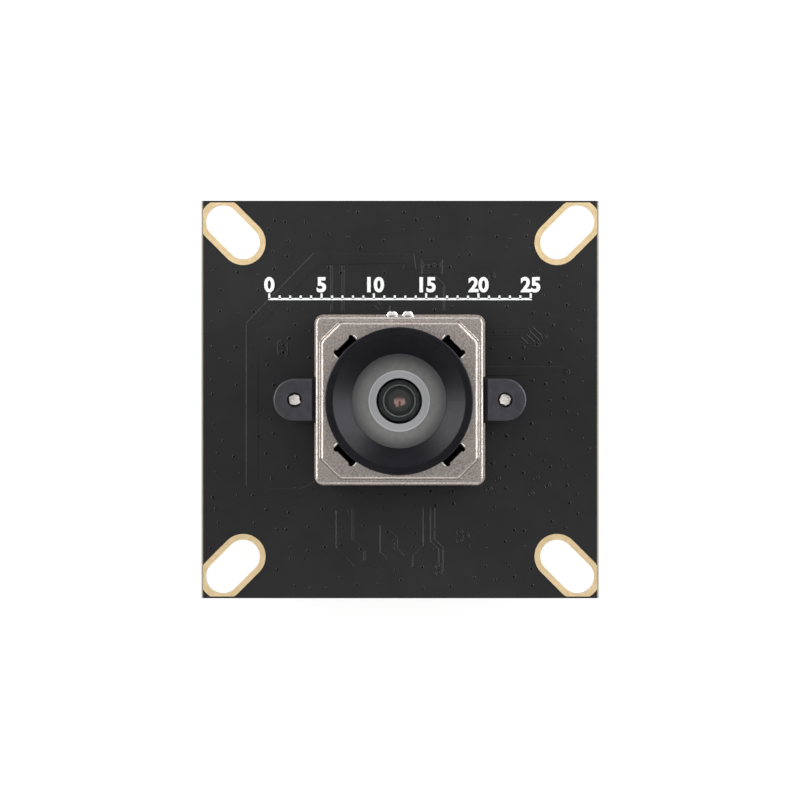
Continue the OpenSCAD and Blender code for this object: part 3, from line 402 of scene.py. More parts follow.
# glazed black top of the resistors
glazeSet = {"tones": ("17171a", "242427"), "grain": 0.2, "rough": (0.26, 0.34)}
materials["resistor_black"] = makeFinish("resistorGlaze", glazeSet)["material"]

# unpigmented nylon of the socket, slightly see-through at thin walls
socketSet = {"tones": ("d6cfba", "e3ddcb"), "grain": 1.2, "relief": (0.12, 0.006), "rough": (0.4, 0.5),
             "sockets": {"Subsurface Weight": 0.15, "Subsurface Scale": 0.5 * mm}}
materials["socket_nylon"] = makeFinish("naturalNylon", socketSet)["material"]

# flash gold on the socket's contacts
flashSet = {"tones": ("d2ac69", "e5c487"), "grain": 0.3, "rough": (0.24, 0.32), "sockets": {"Metallic": 1.0}}
materials["contact_plate"] = makeFinish("flashGold", flashSet)["material"]

# white epoxy ink of the legend, screen printed: slightly ragged and chalky
inkSet = {"tones": ("dcdedd", "f0f1f0"), "grain": 0.2, "relief": (0.1, 0.006), "rough": (0.5, 0.65)}
inkMaterial = makeFinish("legendInk", inkSet)["material"]

# mask that has sagged into a via's hole and lies in its own shade
holeSet = {"tones": ("040404", "070707"), "grain": 0.3, "rough": (0.6, 0.7),
           "sockets": {"Specular IOR Level": 0.1}}
holeMaterial = makeFinish("viaShadow", holeSet)["material"]

for part in frame["record"]["subparts"]:
    for slot in nodes[part["node"]].material_slots:
        slot.material = materials[part["material_slot"]]
print("finishes given to", len(materials), "slots")


def addPiece(name, mesh, slot, material=None, body="camera_base", smooth=False):
    piece = bpy.data.objects.new(name, mesh)
    scene.collection.objects.link(piece)
    mesh.materials.clear()
    mesh.materials.append(material or materials[slot])
    if smooth:
        mesh.shade_smooth()
    else:
        mesh.shade_flat()
    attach(piece, body)
    return piece


def takeMesh(name, bm):
    bmesh.ops.recalc_face_normals(bm, faces=bm.faces)
    mesh = bpy.data.meshes.new(name)
    bm.to_mesh(mesh)
    bm.free()
    return mesh


def addBlock(bm, place, wide, long, thick):
    # a block in millimetres, its middle at the given place
    return bmesh.ops.create_cube(bm, size=mm, matrix=place @ Matrix.Diagonal((wide, long, thick, 1)))["verts"]


def spotAt(x, y, level):
    # a place on the board: millimetres across it, and a level in metres
    return Matrix.Translation((x * mm, y * mm, level))


def layRibbons(name, section, routes, level, side=1):
    # flat ribbons with sloping sides, swept along routes of (width, corners) in millimetres
    joined = bmesh.new()
    for width, points in routes:
        profile = bpy.data.curves.new("ribbonProfile", "CURVE")
        profile.dimensions = "2D"
        outline = profile.splines.new("POLY")
        slope = min(section["slope"], width / 3)  # a narrow ribbon keeps a third of its width flat
        corners = ((-width / 2, section["foot"]), (slope - width / 2, section["rise"]),
                   (width / 2 - slope, section["rise"]), (width / 2, section["foot"]))
        outline.points.add(len(corners) - 1)
        for point, (x, y) in zip(outline.points, corners):
            point.co = (x * mm, y * mm, 0, 1)
        profileObject = bpy.data.objects.new("ribbonProfile", profile)
        route = bpy.data.curves.new("ribbonRoute", "CURVE")
        route.dimensions = "3D"
        route.twist_mode = "Z_UP"
        route.bevel_mode = "OBJECT"
        route.bevel_object = profileObject
        route.use_fill_caps = True
        spline = route.splines.new("POLY")
        closed = points[0] == points[-1]
        kept = points[:-1] if closed else points
        spline.points.add(len(kept) - 1)
        spline.use_cyclic_u = closed
        for point, (x, y) in zip(spline.points, kept):
            point.co = (x * mm, y * mm, 0, 1)
        routeObject = bpy.data.objects.new("ribbonRoute", route)
        scene.collection.objects.link(profileObject)
        scene.collection.objects.link(routeObject)
        sight = bpy.context.evaluated_depsgraph_get()
        swept = bpy.data.meshes.new_from_object(routeObject.evaluated_get(sight))
        joined.from_mesh(swept)
        for thing in (routeObject, profileObject):
            bpy.data.objects.remove(thing)
        bpy.data.curves.remove(route)
        bpy.data.curves.remove(profile)
        bpy.data.meshes.remove(swept)
    bmesh.ops.scale(joined, verts=joined.verts, vec=(1, 1, side))
    bmesh.ops.translate(joined, verts=joined.verts, vec=(0, 0, level))
    return takeMesh(name, joined)


def ringRoute(x, y, r, count=14):
    angles = [2 * math.pi * i / count for i in range(count)]
    ring = [(x + r * math.cos(angle), y + r * math.sin(angle)) for angle in angles]
    return ring + ring[:1]


# tracks on the front of the board, every figure in millimetres from the board's middle
trackSet = {"rise": 0.026, "slope": 0.07, "foot": -0.01, "thin": 0.16, "supply": 1.3, "ringWidth": 0.12,
            "ringRadius": 0.3}
thin, supply = trackSet["thin"], trackSet["supply"]
frontRoutes = [
    (supply, [(0.9, 12.5), (0.9, 13.45), (-8.0, 13.45), (-14.15, 7.1), (-14.15, -8.0), (-13.05, -9.1),
              (-9.3, -9.1), (-7.8, -8.3)]),
    (0.95, [(8.3, 2.7), (15.8, 2.7)]),
    (0.3, [(2.1, 12.0), (4.0, 12.0), (4.0, 13.3), (2.1, 13.3), (2.1, 12.0)]),
    (0.25, [(3.0, 12.1), (4.2, 10.9), (4.2, 8.5)]),
    (0.2, [(6.0, 12.1), (9.0, 12.1), (9.0, 11.6)]),
    (0.25, [(-6.55, 12.8), (-6.55, 8.4)]),
    (0.3, [(-5.45, 12.8), (-5.45, 8.4)]),
    (thin, [(8.3, 6.87), (12.7, 6.87), (13.5, 6.1)]),
    (thin, [(8.3, 6.52), (12.4, 6.52), (13.3, 5.6)]),
    (thin, [(8.3, 6.2), (12.1, 6.2), (12.9, 5.4)]),
    (thin, [(8.3, 5.9), (11.6, 5.9), (12.2, 5.3), (13.0, 5.3)]),
    (thin, [(-3.3, 9.3), (-2.2, 9.3), (-1.9, 9.0), (-1.0, 9.0), (-1.0, 8.4)]),
    (thin, [(-3.3, 8.9), (-2.4, 8.9), (-2.1, 8.6), (-1.5, 8.6)]),
    (thin, [(-6.1, -10.6), (-6.1, -14.2), (-4.3, -16.0), (-1.4, -16.0)]),
    (0.3, [(-4.5, -10.4), (-4.5, -13.4), (-3.4, -14.5), (-3.4, -15.4), (-1.4, -16.4), (1.1, -16.4)]),
    (thin, [(2.2, -10.4), (2.2, -14.0), (1.2, -15.0), (1.2, -16.0)]),
    (thin, [(2.9, -10.4), (2.9, -13.6), (3.7, -14.4), (3.7, -15.9)]),
    (thin, [(3.3, -10.4), (3.3, -13.4), (4.1, -14.2), (4.1, -16.4)]),
    (0.45, [(-1.1, -12.6), (-0.4, -13.3), (-0.4, -14.3), (0.4, -15.1), (1.0, -15.1)]),
    (thin, [(-1.9, -12.0), (-1.9, -14.6), (-1.2, -15.3)]),
    (thin, [(-11.0, 5.65), (-11.4, 5.65), (-11.65, 5.4), (-11.65, 4.3), (-11.4, 4.05), (-11.0, 4.05),
            (-10.75, 4.3), (-10.75, 5.4), (-11.0, 5.65)]),
]
testPoints = [(8.75, -6.1), (9.3, -7.6), (8.5, -8.55), (13.0, -7.5), (14.1, -8.2), (12.5, -9.0), (5.7, -12.7),
              (6.3, -13.05), (5.7, -13.5), (-11.2, 5.2), (-11.2, 4.5), (3.7, -16.0), (3.7, -16.6),
              (15.9, 2.6), (13.8, 6.0), (13.1, 5.3), (2.5, 12.8), (3.0, 12.8), (3.6, 12.8), (8.8, 11.7)]
frontRoutes += [(trackSet["ringWidth"], ringRoute(x, y, trackSet["ringRadius"])) for x, y in testPoints]
addPiece("front_tracks", layRibbons("front_tracks", trackSet, frontRoutes, boardTop), "solder_mask")
print("front tracks laid:", len(frontRoutes))

# tented vias: a low ring of mask round a dark sunken mouth
viaSet = {"mouths": (0.07, 0.08, 0.1, 0.12), "wall": 0.06, "rise": 0.03, "sink": 0.6, "segments": 10,
          "room": 0.45, "pitch": 1.75, "reach": 10, "jitter": 0.6, "apart": 0.8, "farAway": 30}


def drillVias(name, side, level, drilled):
    # each via has its own jittered place on a grid, where rays from outside meet nothing but the bare board
    dice = random.Random(drilled["seed"])
    lips = bmesh.new()
    mouths = bmesh.new()
    steps = [viaSet["pitch"] * i for i in range(-viaSet["reach"], viaSet["reach"] + 1)]
    grid = [(x, y) for x in steps for y in steps]
    dice.shuffle(grid)
    spots = list(drilled["fixed"])
    sight = bpy.context.evaluated_depsgraph_get()
    jitter, room, rise = viaSet["jitter"], viaSet["room"], viaSet["rise"] * mm
    for x, y in grid:
        at = (x + dice.uniform(-jitter, jitter), y + dice.uniform(-jitter, jitter))
        if len(spots) == drilled["count"]:
            continue
        if any(low[0] < at[0] < high[0] and low[1] < at[1] < high[1] for low, high in drilled["keepOut"]):
            continue
        if any(math.dist(at, other) < viaSet["apart"] for other in spots):
            continue
        met = []
        for dx, dy in ((0, 0), (room, 0), (-room, 0), (0, room), (0, -room)):
            start = Vector((at[0] + dx, at[1] + dy, side * viaSet["farAway"])) * mm
            met.append(scene.ray_cast(sight, start, (0, 0, -side))[4])
        if all(thing is not None and thing.name in drilled["bare"] for thing in met):
            spots.append(at)
    for x, y in spots:
        spot = spotAt(x, y, level)
        mouthSize = dice.choice(viaSet["mouths"])
        rim = bmesh.ops.create_circle(lips, segments=viaSet["segments"], matrix=spot, cap_ends=True,
                                      radius=(mouthSize + viaSet["wall"]) * mm)["verts"]
        face = rim[0].link_faces[0]
        bmesh.ops.inset_region(lips, faces=[face], thickness=viaSet["wall"] * mm, use_boundary=True)
        bmesh.ops.translate(lips, verts=face.verts, vec=(0, 0, side * rise))
        bmesh.ops.delete(lips, geom=[face], context="FACES_ONLY")
        mouth = bmesh.ops.create_circle(mouths, segments=viaSet["segments"], matrix=spot, cap_ends=True,
                                        radius=mouthSize * mm)["verts"]
        bmesh.ops.translate(mouths, verts=mouth, vec=(0, 0, side * rise))
        centre = bmesh.ops.poke(mouths, faces=mouth[0].link_faces[:])["verts"]
        bmesh.ops.translate(mouths, verts=centre, vec=(0, 0, -side * viaSet["sink"] * rise))
    return takeMesh(name + "_lips", lips), takeMesh(name + "_mouths", mouths), len(spots)


frontViaSet = {"seed": 7, "bare": ("circuit_board", "front_tracks"), "count": 250, "fixed": testPoints,
               "keepOut": [((-13.4, 9.5), (13.4, 11.9))]}  # none under the printed scale
lips, mouths, placed = drillVias("front_vias", 1, boardTop, frontViaSet)
addPiece("front_via_lips", lips, "solder_mask")
addPiece("front_via_mouths", mouths, "solder_mask", holeMaterial)
print("front vias drilled:", placed)

# white legend on the front: a plain millimetre scale in the place of the maker's lettering
scaleSet = {"left": -12.5, "bottom": 9.6, "step": 5, "span": 25, "line": 0.2, "longTick": 0.55,
            "shortTick": 0.34, "thick": 0.05, "numeral": 1.34, "capShare": 0.7, "lift": 0.72, "bold": 0.075,
            "smoothness": 4}
bm = bmesh.new()
left, bottom, span = scaleSet["left"], scaleSet["bottom"], scaleSet["span"]
line, deep = scaleSet["line"], 2 * scaleSet["thick"]
for tick in range(span + 1):
    tall = scaleSet["shortTick"] if tick % scaleSet["step"] else scaleSet["longTick"]
    addBlock(bm, spotAt(left + tick, bottom + tall / 2, boardTop), line, tall, deep)
addBlock(bm, spotAt(left + span / 2, bottom, boardTop), span + line, line, deep)
for mark in range(0, span + 1, scaleSet["step"]):
    text = bpy.data.curves.new("scaleNumeral", "FONT")
    text.body = str(mark)
    text.size = scaleSet["numeral"] * mm / scaleSet["capShare"]
    text.align_x = "CENTER"
    text.offset = scaleSet["bold"] * mm
    text.extrude = scaleSet["thick"] * mm
    text.resolution_u = scaleSet["smoothness"]
    textObject = bpy.data.objects.new("scaleNumeral", text)
    scene.collection.objects.link(textObject)
    sight = bpy.context.evaluated_depsgraph_get()
    numeral = bpy.data.meshes.new_from_object(textObject.evaluated_get(sight))
    numeral.transform(spotAt(left + mark, bottom + scaleSet["lift"], boardTop))
    bm.from_mesh(numeral)
    bpy.data.objects.remove(textObject)
    bpy.data.curves.remove(text)
    bpy.data.meshes.remove(numeral)
addPiece("front_legend", takeMesh("front_legend", bm), "solder_mask", inkMaterial)
print("legend printed")

# two wetted solder fillets that climb the motor's terminals, each pinched in two by the terminal's edge
filletSet = {"wide": 0.55, "out": 0.72, "high": 1.25, "pinch": 0.16, "pinchWidth": 0.2, "hollow": 0.35,
             "plainRadius": 0.54, "segments": 28, "rings": 16}
bm = bmesh.new()
terminalX = (abs(solderLow.x) + abs(solderHigh.x)) / 2 - filletSet["plainRadius"] * mm
for sideSign in (-1, 1):
    blob = bmesh.ops.create_uvsphere(bm, u_segments=filletSet["segments"], v_segments=filletSet["rings"],
                                     radius=mm)["verts"]
    bmesh.ops.scale(bm, verts=blob, vec=(filletSet["wide"], filletSet["out"], filletSet["high"]))
    for vert in blob:
        x, y, z = vert.co / mm
        groove = math.exp(-(x / filletSet["pinchWidth"]) ** 2) * max(0, y / filletSet["out"])
        climbed = min(1, max(0, z / filletSet["high"]))
        waist = 1 - filletSet["hollow"] * math.sin(math.pi * climbed)
        vert.co = Vector((x * waist, (y - filletSet["pinch"] * groove) * waist, z)) * mm
    bmesh.ops.translate(bm, verts=blob, vec=(sideSign * terminalX, solderLow.y, boardTop))
for cutAt, cutFacing in (((0, 0, boardTop), (0, 0, -1)), ((0, solderLow.y, 0), (0, -1, 0))):
    whole = bm.verts[:] + bm.edges[:] + bm.faces[:]
    bmesh.ops.bisect_plane(bm, geom=whole, plane_co=cutAt, plane_no=cutFacing, clear_outer=True)
bmesh.ops.holes_fill(bm, edges=[edge for edge in bm.edges if edge.is_boundary])
fillets = addPiece("solder_fillets", takeMesh("solder_fillets", bm), "solder", smooth=True)
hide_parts("solder_joints")
print("solder wetted")

# the fine step pressed along the octagon's slope
pressSet = {"octagonHalf": 7.49, "cornerLeg": 1.9, "octagonHigh": 0.35, "inset": 0.075, "width": 0.05,
            "slope": 0.006, "foot": 0.05, "rise": 0.18}
side = pressSet["octagonHalf"] - pressSet["inset"]
corner = pressSet["octagonHalf"] - pressSet["cornerLeg"] - pressSet["inset"] * math.tan(math.pi / 8)
step = [(side, -corner), (side, corner), (corner, side), (-corner, side), (-side, corner), (-side, -corner),
        (-corner, -side), (corner, -side), (side, -corner)]
addPiece("can_press_step", layRibbons("can_press_step", pressSet, [(pressSet["width"], step)],
                                      canHigh.z - pressSet["octagonHigh"] * mm), "nickel_sheet")

# the flat roots of the bent tabs, one at each corner of the can
canCorners = [math.radians(turn) for turn in (45, 135, 225, 315)]
rootSet = {"inner": 7.47, "outer": 7.8, "wide": 1.54, "deep": 0.12, "proud": 0.004, "bevel": 0.03}
bm = bmesh.new()
rootRadius = (rootSet["inner"] + rootSet["outer"]) / 2
rootLevel = canHigh.z + (rootSet["proud"] - rootSet["deep"] / 2) * mm
for turn in canCorners:
    addBlock(bm, Matrix.Rotation(turn, 4, "Z") @ spotAt(rootRadius, 0, rootLevel),
             rootSet["outer"] - rootSet["inner"], rootSet["wide"], rootSet["deep"])
bmesh.ops.bevel(bm, geom=bm.edges[:], offset=rootSet["bevel"] * mm, affect="EDGES", segments=2, profile=0.5,
                material=-1)
addPiece("tab_roots", takeMesh("tab_roots", bm), "nickel_sheet")

# sheared lips at both ends of the four notches, coloured near white: a painted highlight on the notches'
# edges
notchHighlightSet = {"tones": ("e9e5e0", "faf8f5"), "grain": 0.2, "rough": (0.25, 0.35), "sockets": {"Metallic": 0.4},
            "width": 0.13, "slope": 0.05, "foot": -0.02, "rise": 0.03, "ends": (6.95, 7.36), "aside": 1.3}
notchHighlightRoutes = []
for turn in canCorners:
    across, along = math.cos(turn), math.sin(turn)
    for aside in (-notchHighlightSet["aside"], notchHighlightSet["aside"]):
        route = [(out * across - aside * along, out * along + aside * across) for out in notchHighlightSet["ends"]]
        notchHighlightRoutes.append((notchHighlightSet["width"], route))
# painted highlight: near-white ribbons along the notches' edges
addPiece("notch_lip_highlights", layRibbons("notch_lip_highlights", notchHighlightSet, notchHighlightRoutes, canHigh.z), "nickel_sheet",
         makeFinish("paintedNotchHighlight", notchHighlightSet)["material"])
print("can pressed and sheared")

# ends of the thread-forming screws in the ears' holes: broken off, with bright ragged facets
tipSet = {"earRadius": 2, "radius": 0.62, "rise": 0.6, "taper": 0.1, "jitter": 0.07, "peak": 1.5,
          "ragged": 0.6, "segments": 16, "above": 0.02, "seed": 12}
bm = bmesh.new()
dice = random.Random(tipSet["seed"])
jitter, ragged = tipSet["jitter"] * mm, tipSet["ragged"]
screwX = holderHigh.x - tipSet["earRadius"] * mm
for sideSign in (-1, 1):
    spot = Matrix.Translation((sideSign * screwX, 0, screwHigh.z))
    outline = bmesh.ops.create_circle(bm, segments=tipSet["segments"], radius=tipSet["radius"] * mm,
                                      matrix=spot, cap_ends=True)["verts"]
    for vert in outline:
        vert.co.x += dice.uniform(-1, 1) * jitter
        vert.co.y += dice.uniform(-1, 1) * jitter
    face = outline[0].link_faces[0]
    bmesh.ops.inset_region(bm, faces=[face], thickness=tipSet["taper"] * mm, depth=tipSet["rise"] * mm,
                           use_boundary=True)
    for vert in bmesh.ops.poke(bm, faces=[face])["verts"]:
        vert.co.z += dice.uniform(-1, ragged) * tipSet["peak"] * jitter
for vert in bm.verts:
    if vert.co.z > screwHigh.z + tipSet["above"] * mm:
        vert.co.z += dice.uniform(-ragged, ragged) * jitter
        vert.co.x += dice.uniform(-ragged, ragged) * jitter
addPiece("screw_ends", takeMesh("screw_ends", bm), "screw_steel")
print("screw ends broken")

# the turned edge of the stop, seen through the front element, coloured near white: a painted highlight on the
# edge of the black foil
stopHighlightSet = {"radius": 1.37, "section": 0.06, "segments": 8, "steps": 72,
           "tones": ("e2e4e6", "f4f5f6"), "grain": 0.3, "rough": (0.4, 0.5)}
bm = bmesh.new()
standing = Matrix.Translation((stopHighlightSet["radius"] * mm, 0, stopHigh.z)) @ Matrix.Rotation(math.pi / 2, 4, "X")
bmesh.ops.create_circle(bm, segments=stopHighlightSet["segments"], radius=stopHighlightSet["section"] * mm, matrix=standing)
bmesh.ops.spin(bm, geom=bm.verts[:] + bm.edges[:], cent=(0, 0, 0), axis=(0, 0, 1), angle=2 * math.pi,
               steps=stopHighlightSet["steps"], use_merge=True)
# painted highlight: the ring is near white, though the stop is black foil
addPiece("stop_edge_highlight", takeMesh("stop_edge_highlight", bm), "stop_foil",
         makeFinish("paintedStopEdgeHighlight", stopHighlightSet)["material"], "lens_unit", True)
print("stop edge turned")


def cornerMarks(x, y, wide, deep, reach):
    # four printed angles round a part
    marks = []
    for sx in (-1, 1):
        for sy in (-1, 1):
            at = (x + sx * wide / 2, y + sy * deep / 2)
            marks.append([(at[0] - sx * reach, at[1]), at, (at[0], at[1] - sy * reach)])
    return marks


def boxRoute(x, y, wide, deep):
    left, right, low, high = x - wide / 2, x + wide / 2, y - deep / 2, y + deep / 2
    return [(left, low), (right, low), (right, high), (left, high), (left, low)]


# tracks on the back of the board, in millimetres, seen through it from the front
backRoutes = [
    (1.1, [(2.6, -12.4), (4.6, -10.6), (6.2, -8.8), (8.0, -7.6)]),
    (0.9, [(9.2, -3.6), (9.2, -1.2), (7.6, 0.4), (7.6, 5.4)]),
    (1.2, [(8.5, 9.6), (8.5, 8.2)]),
    (1.0, [(6.2, 12.6), (4.9, 12.6), (4.9, 9.6), (3.6, 9.6)]),
    (1.2, [(10.8, 12.0), (13.6, 12.0), (15.2, 10.4), (15.2, -8.6)]),
    (0.2, [(-1.15, -12.2), (-1.15, -9.5), (-2.05, -8.6), (-2.05, -5.4)]),
    (0.2, [(-0.8, -12.2), (-0.8, -9.35), (-1.7, -8.45), (-1.7, -5.4)]),
    (thin, [(-6.6, -5.0), (-5.5, -3.9), (-5.5, -0.5), (-4.9, 0.1)]),
    (thin, [(-6.6, -6.1), (-5.1, -4.6), (-5.1, -1.2), (-4.9, -1.0)]),
    (thin, [(-11.4, 6.4), (-11.4, 5.8)]),
    (thin, [(-10.1, 6.4), (-9.6, 5.9)]),
    (thin, [(-8.9, 6.4), (-8.1, 5.8)]),
    (thin, [(-11.0, 4.2), (-11.0, 3.4), (-9.6, 2.0), (-7.2, 2.0), (-6.8, 1.6)]),
    (thin, [(-9.5, 4.2), (-9.5, 3.6), (-8.6, 2.7), (-7.2, 2.7), (-6.8, 3.1)]),
    (thin, [(-8.0, 4.2), (-8.0, 3.9), (-7.4, 3.3)]),
    (thin, [(-7.6, 12.8), (-6.4, 12.8), (-4.4, 10.8), (-4.4, 7.6)]),
    (thin, [(-8.9, 13.0), (-8.0, 13.9), (-5.4, 13.9), (-4.2, 12.7)]),
    (0.3, [(-1.0, 11.6), (-1.0, 10.4), (-1.6, 9.8)]),
    (0.3, [(0.6, 11.6), (0.6, 9.6)]),
    (0.6, [(-14.6, 9.0), (-14.6, -7.4), (-12.0, -10.0), (-6.6, -10.0)]),
    (thin, [(-13.0, 1.0), (-13.0, -6.4), (-11.0, -8.4), (-6.0, -8.4), (-4.6, -9.8)]),
    (thin, [(12.6, 4.0), (12.6, -7.0), (10.6, -9.0), (7.2, -9.0)]),
    (thin, [(12.9, 4.4), (12.9, -7.2), (10.7, -9.4), (7.0, -9.4)]),
]
# short escapes from the processor's four sides, in three lengths by turns
escapeSet = {"count": 12, "pitch": 0.7, "middleY": 2, "half": 4.6, "width": 0.12, "short": 0.5,
             "longer": 0.35, "sideShare": 0.6}
middleY, half = escapeSet["middleY"], escapeSet["half"]
for place in range(escapeSet["count"]):
    along = (place - (escapeSet["count"] - 1) / 2) * escapeSet["pitch"]
    reach = escapeSet["short"] + escapeSet["longer"] * (place % 3)
    shorter = escapeSet["sideShare"] * reach
    backRoutes += [(escapeSet["width"], route) for route in (
        [(half, middleY + along), (half + shorter, middleY + along)],
        [(-half, middleY + along), (-half - shorter, middleY + along)],
        [(along, middleY + half), (along, middleY + half + reach)],
        [(along, middleY - half), (along, middleY - half - shorter)])]
addPiece("back_tracks", layRibbons("back_tracks", trackSet, backRoutes, boardBack, -1), "solder_mask")
backViaSet = {"seed": 11, "bare": ("circuit_board", "back_tracks"), "count": 150, "fixed": [], "keepOut": []}
lips, mouths, placed = drillVias("back_vias", -1, boardBack, backViaSet)
addPiece("back_via_lips", lips, "solder_mask")
addPiece("back_via_mouths", mouths, "solder_mask", holeMaterial)
print("back tracks and vias laid:", len(backRoutes), placed)

# printed outlines round the parts on the back, without letters; a box is x, y, width and depth
printSet = {"rise": 0.02, "slope": 0.02, "foot": -0.01, "line": 0.15, "dot": 0.16,
            "dots": [(-5.6, 7.6), (-12.9, 7.2), (-2.0, 14.8), (-3.4, -12.0)],
            "boxes": [(-8.3, -5.5, 4.2, 3.4), (8.5, 12, 4.9, 4.9), (0, 13, 2.9, 2.9)],
            "processor": (0, 2, 10.2, 10.2), "markReach": 0.9}
outlines = [boxRoute(*box) for box in printSet["boxes"]]
outlines += [[(-12.5, 8.2), (-12.5, 10.8)], [(-6.5, 8.2), (-6.5, 10.8)],
             [(7.0, 6.0), (7.0, 7.0)], [(11.0, 6.0), (11.0, 7.0)],
             [(7.2, -6.0), (7.2, -5.0)], [(11.2, -6.0), (11.2, -5.0)],
             [(-6.2, -13.0), (-6.2, -12.6), (6.2, -12.6), (6.2, -13.0)]]
outlines += cornerMarks(*printSet["processor"], printSet["markReach"])
printed = [(printSet["line"], route) for route in outlines]
printed += [(printSet["dot"], ringRoute(x, y, printSet["dot"])) for x, y in printSet["dots"]]
addPiece("back_legend", layRibbons("back_legend", printSet, printed, boardBack, -1),
         "solder_mask", inkMaterial)

# solder wedges at the small chips' ends; each row is x, y, step in x, step in y and how many chips
footSet = {"wide": 0.52, "reach": 0.26, "high": 0.3, "sunk": 0.01, "toe": 0.1, "chipLong": 1.0, "rows": [
    (-3, 8.4, 1.5, 0, 5), (-3.6, -4.4, 1.2, 0, 7), (5.8, 0.5, 0, 1.6, 4), (4.5, 11, 0, 1.6, 2),
    (-4, -10.8, 2, 0, 5), (-6, 0.5, 0, 1.6, 4), (-3.4, 12.2, 0, 1.6, 2), (-11, 5, 1.5, 0, 3)]}
bm = bmesh.new()
footLevel = boardBack + (footSet["sunk"] - footSet["high"]) / 2 * mm
footOut = (footSet["chipLong"] + footSet["reach"]) / 2
for x, y, stepX, stepY, count in footSet["rows"]:
    for place in range(count):
        for end in (-1, 1):
            footY = y + place * stepY + end * footOut
            wedge = addBlock(bm, spotAt(x + place * stepX, footY, footLevel),
                             footSet["wide"], footSet["reach"], footSet["high"] + footSet["sunk"])
            for vert in wedge:
                if vert.co.z < footLevel and (vert.co.y - footY * mm) * end > 0:
                    vert.co.z = boardBack - footSet["toe"] * footSet["high"] * mm
addPiece("chip_solder", takeMesh("chip_solder", bm), "solder")

# pads that show round the processor and the motor driver; each part is x, y, half width and pads per side
padSet = {"pitch": 0.5, "wide": 0.27, "long": 0.6, "thick": 0.03, "parts": [(0, 2, 4.5, 16), (0, 13, 1.0, 4)]}
bm = bmesh.new()
for x, y, outward, count in padSet["parts"]:
    for quarter in range(4):
        turned = spotAt(x, y, boardBack) @ Matrix.Rotation(quarter * math.pi / 2, 4, "Z")
        for place in range(count):
            along = (place - (count - 1) / 2) * padSet["pitch"]
            addBlock(bm, turned @ spotAt(outward, along, 0),
                     padSet["long"], padSet["wide"], 2 * padSet["thick"])
addPiece("chip_pads", takeMesh("chip_pads", bm), "tinned_lead")

# bare gold test pads
testSet = {"radius": 0.45, "thick": 0.03, "bevel": 0.02, "segments": 24, "places": [
    (-12.4, -2.6), (-12.4, -4.6), (11.2, 1.4), (11.2, -0.8), (-5.9, -7.2), (3.2, -7.4), (5.2, -6.6)]}
bm = bmesh.new()
for x, y in testSet["places"]:
    bmesh.ops.create_cone(bm, cap_ends=True, segments=testSet["segments"], radius1=testSet["radius"] * mm,
                          radius2=testSet["radius"] * mm, depth=2 * testSet["thick"] * mm,
                          matrix=spotAt(x, y, boardBack))
rims = [edge for edge in bm.edges if all(vert.co.z < boardBack for vert in edge.verts)]
bmesh.ops.bevel(bm, geom=rims, offset=testSet["bevel"] * mm, affect="EDGES", segments=1, profile=0.5,
                material=-1)
addPiece("test_pads", takeMesh("test_pads", bm), "gold_plate")
print("back of the board finished")

# the studio: a sheet of white paper for a floor, which is clear from below, and a bright room
studioSet = {"floorSize": 3.0, "floorDrop": 0.02, "floorTone": "898989", "floorGlow": 0.84, "roomLight": 0.5,
             "skyLight": 0.42, "horizon": (0.06, 0.25)}


def plainSight(tree):
    # camera, mirror and glass rays see the backdrop as it should look; all others take only its light
    path = addNode(tree, "ShaderNodeLightPath")
    seen = addNode(tree, "ShaderNodeMath", larger,
                   {0: path.outputs["Is Camera Ray"], 1: path.outputs["Is Glossy Ray"]})
    return addNode(tree, "ShaderNodeMath", larger,
                   {0: seen.outputs[0], 1: path.outputs["Is Transmission Ray"]}).outputs[0]


bm = bmesh.new()
bmesh.ops.create_grid(bm, x_segments=1, y_segments=1, size=studioSet["floorSize"] / 2)
bmesh.ops.translate(bm, verts=bm.verts, vec=(0, 0, cadBox[0].z - studioSet["floorDrop"] * mm))
floorMesh = bpy.data.meshes.new("studioFloor")
bm.to_mesh(floorMesh)
bm.free()
floor = bpy.data.objects.new("studioFloor", floorMesh)
scene.collection.objects.link(floor)

material = bpy.data.materials.new("paperFloor")
material.use_nodes = True
tree = material.node_tree
tree.nodes.clear()
glow = addNode(tree, "ShaderNodeMath", product, {0: plainSight(tree), 1: studioSet["floorGlow"]})
paper = addNode(tree, "ShaderNodeBsdfDiffuse", inputs={"Color": linearColour(studioSet["floorTone"])})
light = addNode(tree, "ShaderNodeEmission", inputs={"Strength": glow.outputs[0]})
total = addNode(tree, "ShaderNodeAddShader", inputs={0: paper.outputs[0], 1: light.outputs[0]})
under = addNode(tree, "ShaderNodeNewGeometry")
clear = addNode(tree, "ShaderNodeBsdfTransparent")
oneWay = addNode(tree, "ShaderNodeMixShader",
                 inputs={0: under.outputs["Backfacing"], 1: total.outputs[0], 2: clear.outputs[0]})
addNode(tree, "ShaderNodeOutputMaterial", inputs={"Surface": oneWay.outputs[0]})
floorMesh.materials.append(material)

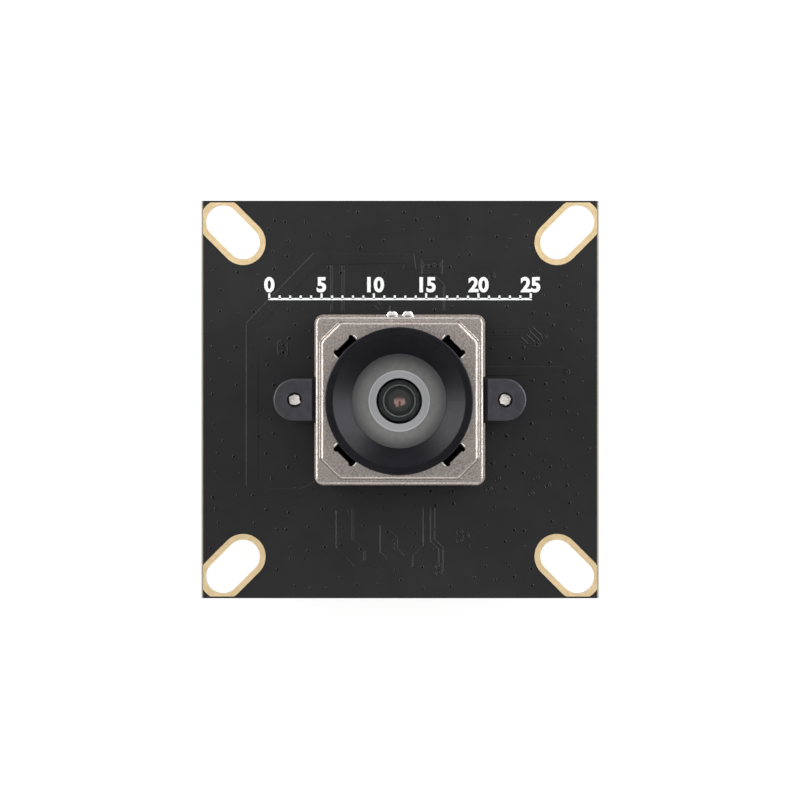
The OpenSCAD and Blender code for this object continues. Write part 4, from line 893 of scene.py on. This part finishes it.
# the room: white at the horizon, as the backdrop, and dimmer overhead
world = bpy.data.worlds.new("studioAir")
world.use_nodes = True
scene.world = world
tree = world.node_tree
tree.nodes.clear()
way = addNode(tree, "ShaderNodeTexCoord")
wayParts = addNode(tree, "ShaderNodeSeparateXYZ", inputs={0: way.outputs["Generated"]})
backdrop = addNode(tree, "ShaderNodeMapRange", softStep,
                   {"Value": wayParts.outputs["Z"], "From Min": studioSet["horizon"][0],
                    "From Max": studioSet["horizon"][1], "To Min": 1.0, "To Max": studioSet["skyLight"]})
strength = addNode(tree, "ShaderNodeMix", inputs={
    "Factor": plainSight(tree), "A": studioSet["roomLight"], "B": backdrop.outputs[0]})
air = addNode(tree, "ShaderNodeBackground", inputs={"Color": (1, 1, 1, 1), "Strength": strength.outputs[0]})
addNode(tree, "ShaderNodeOutputWorld", inputs={"Surface": air.outputs[0]})

# four soft boxes: azimuth and height in degrees, distance and size in metres, power in watts
softBoxes = {"softBoxRight": (20, 18, 0.5, (0.46, 0.2), 3.5), "softBoxLeft": (160, 18, 0.5, (0.46, 0.2), 3.2),
             "softBoxBack": (90, 42, 0.6, (0.3, 0.2), 0.25), "softBoxFront": (270, 42, 0.6, (0.3, 0.2), 0.35)}
for name, (azimuth, elevation, away, boxSize, power) in softBoxes.items():
    turn, tilt = math.radians(azimuth), math.radians(elevation)
    at = Vector((math.cos(turn) * math.cos(tilt), math.sin(turn) * math.cos(tilt), math.sin(tilt))) * away
    lampData = bpy.data.lights.new(name, "AREA")
    lampData.shape = "RECTANGLE"
    lampData.size, lampData.size_y = boxSize
    lampData.energy = power
    lamp = bpy.data.objects.new(name, lampData)
    lamp.location = at + Vector((0, 0, boardTop))
    lamp.rotation_mode = "QUATERNION"
    lamp.rotation_quaternion = (-at).to_track_quat("-Z", "Y")
    scene.collection.objects.link(lamp)

# the camera looks straight down from a little off the lens axis, and its shift brings the board back to the
# middle; in metres, apart from the sensor's width in millimetres
cameraSet = {"height": 0.4, "offset": (0.003, 0.0055), "view": 0.07648, "middle": (-0.000005, -0.00005),
             "sensor": 36, "clip": (0.01, 10)}
offset, middle, view = cameraSet["offset"], cameraSet["middle"], cameraSet["view"]
cameraData = bpy.data.cameras.new("studioCamera")
cameraData.sensor_width = cameraSet["sensor"]
cameraData.lens = cameraSet["sensor"] * cameraSet["height"] / view
cameraData.shift_x = (middle[0] - offset[0]) / view
cameraData.shift_y = (middle[1] - offset[1]) / view
cameraData.clip_start, cameraData.clip_end = cameraSet["clip"]
camera = bpy.data.objects.new("studioCamera", cameraData)
camera.location = (*offset, boardTop + cameraSet["height"])
scene.collection.objects.link(camera)
scene.camera = camera
print("studio ready")
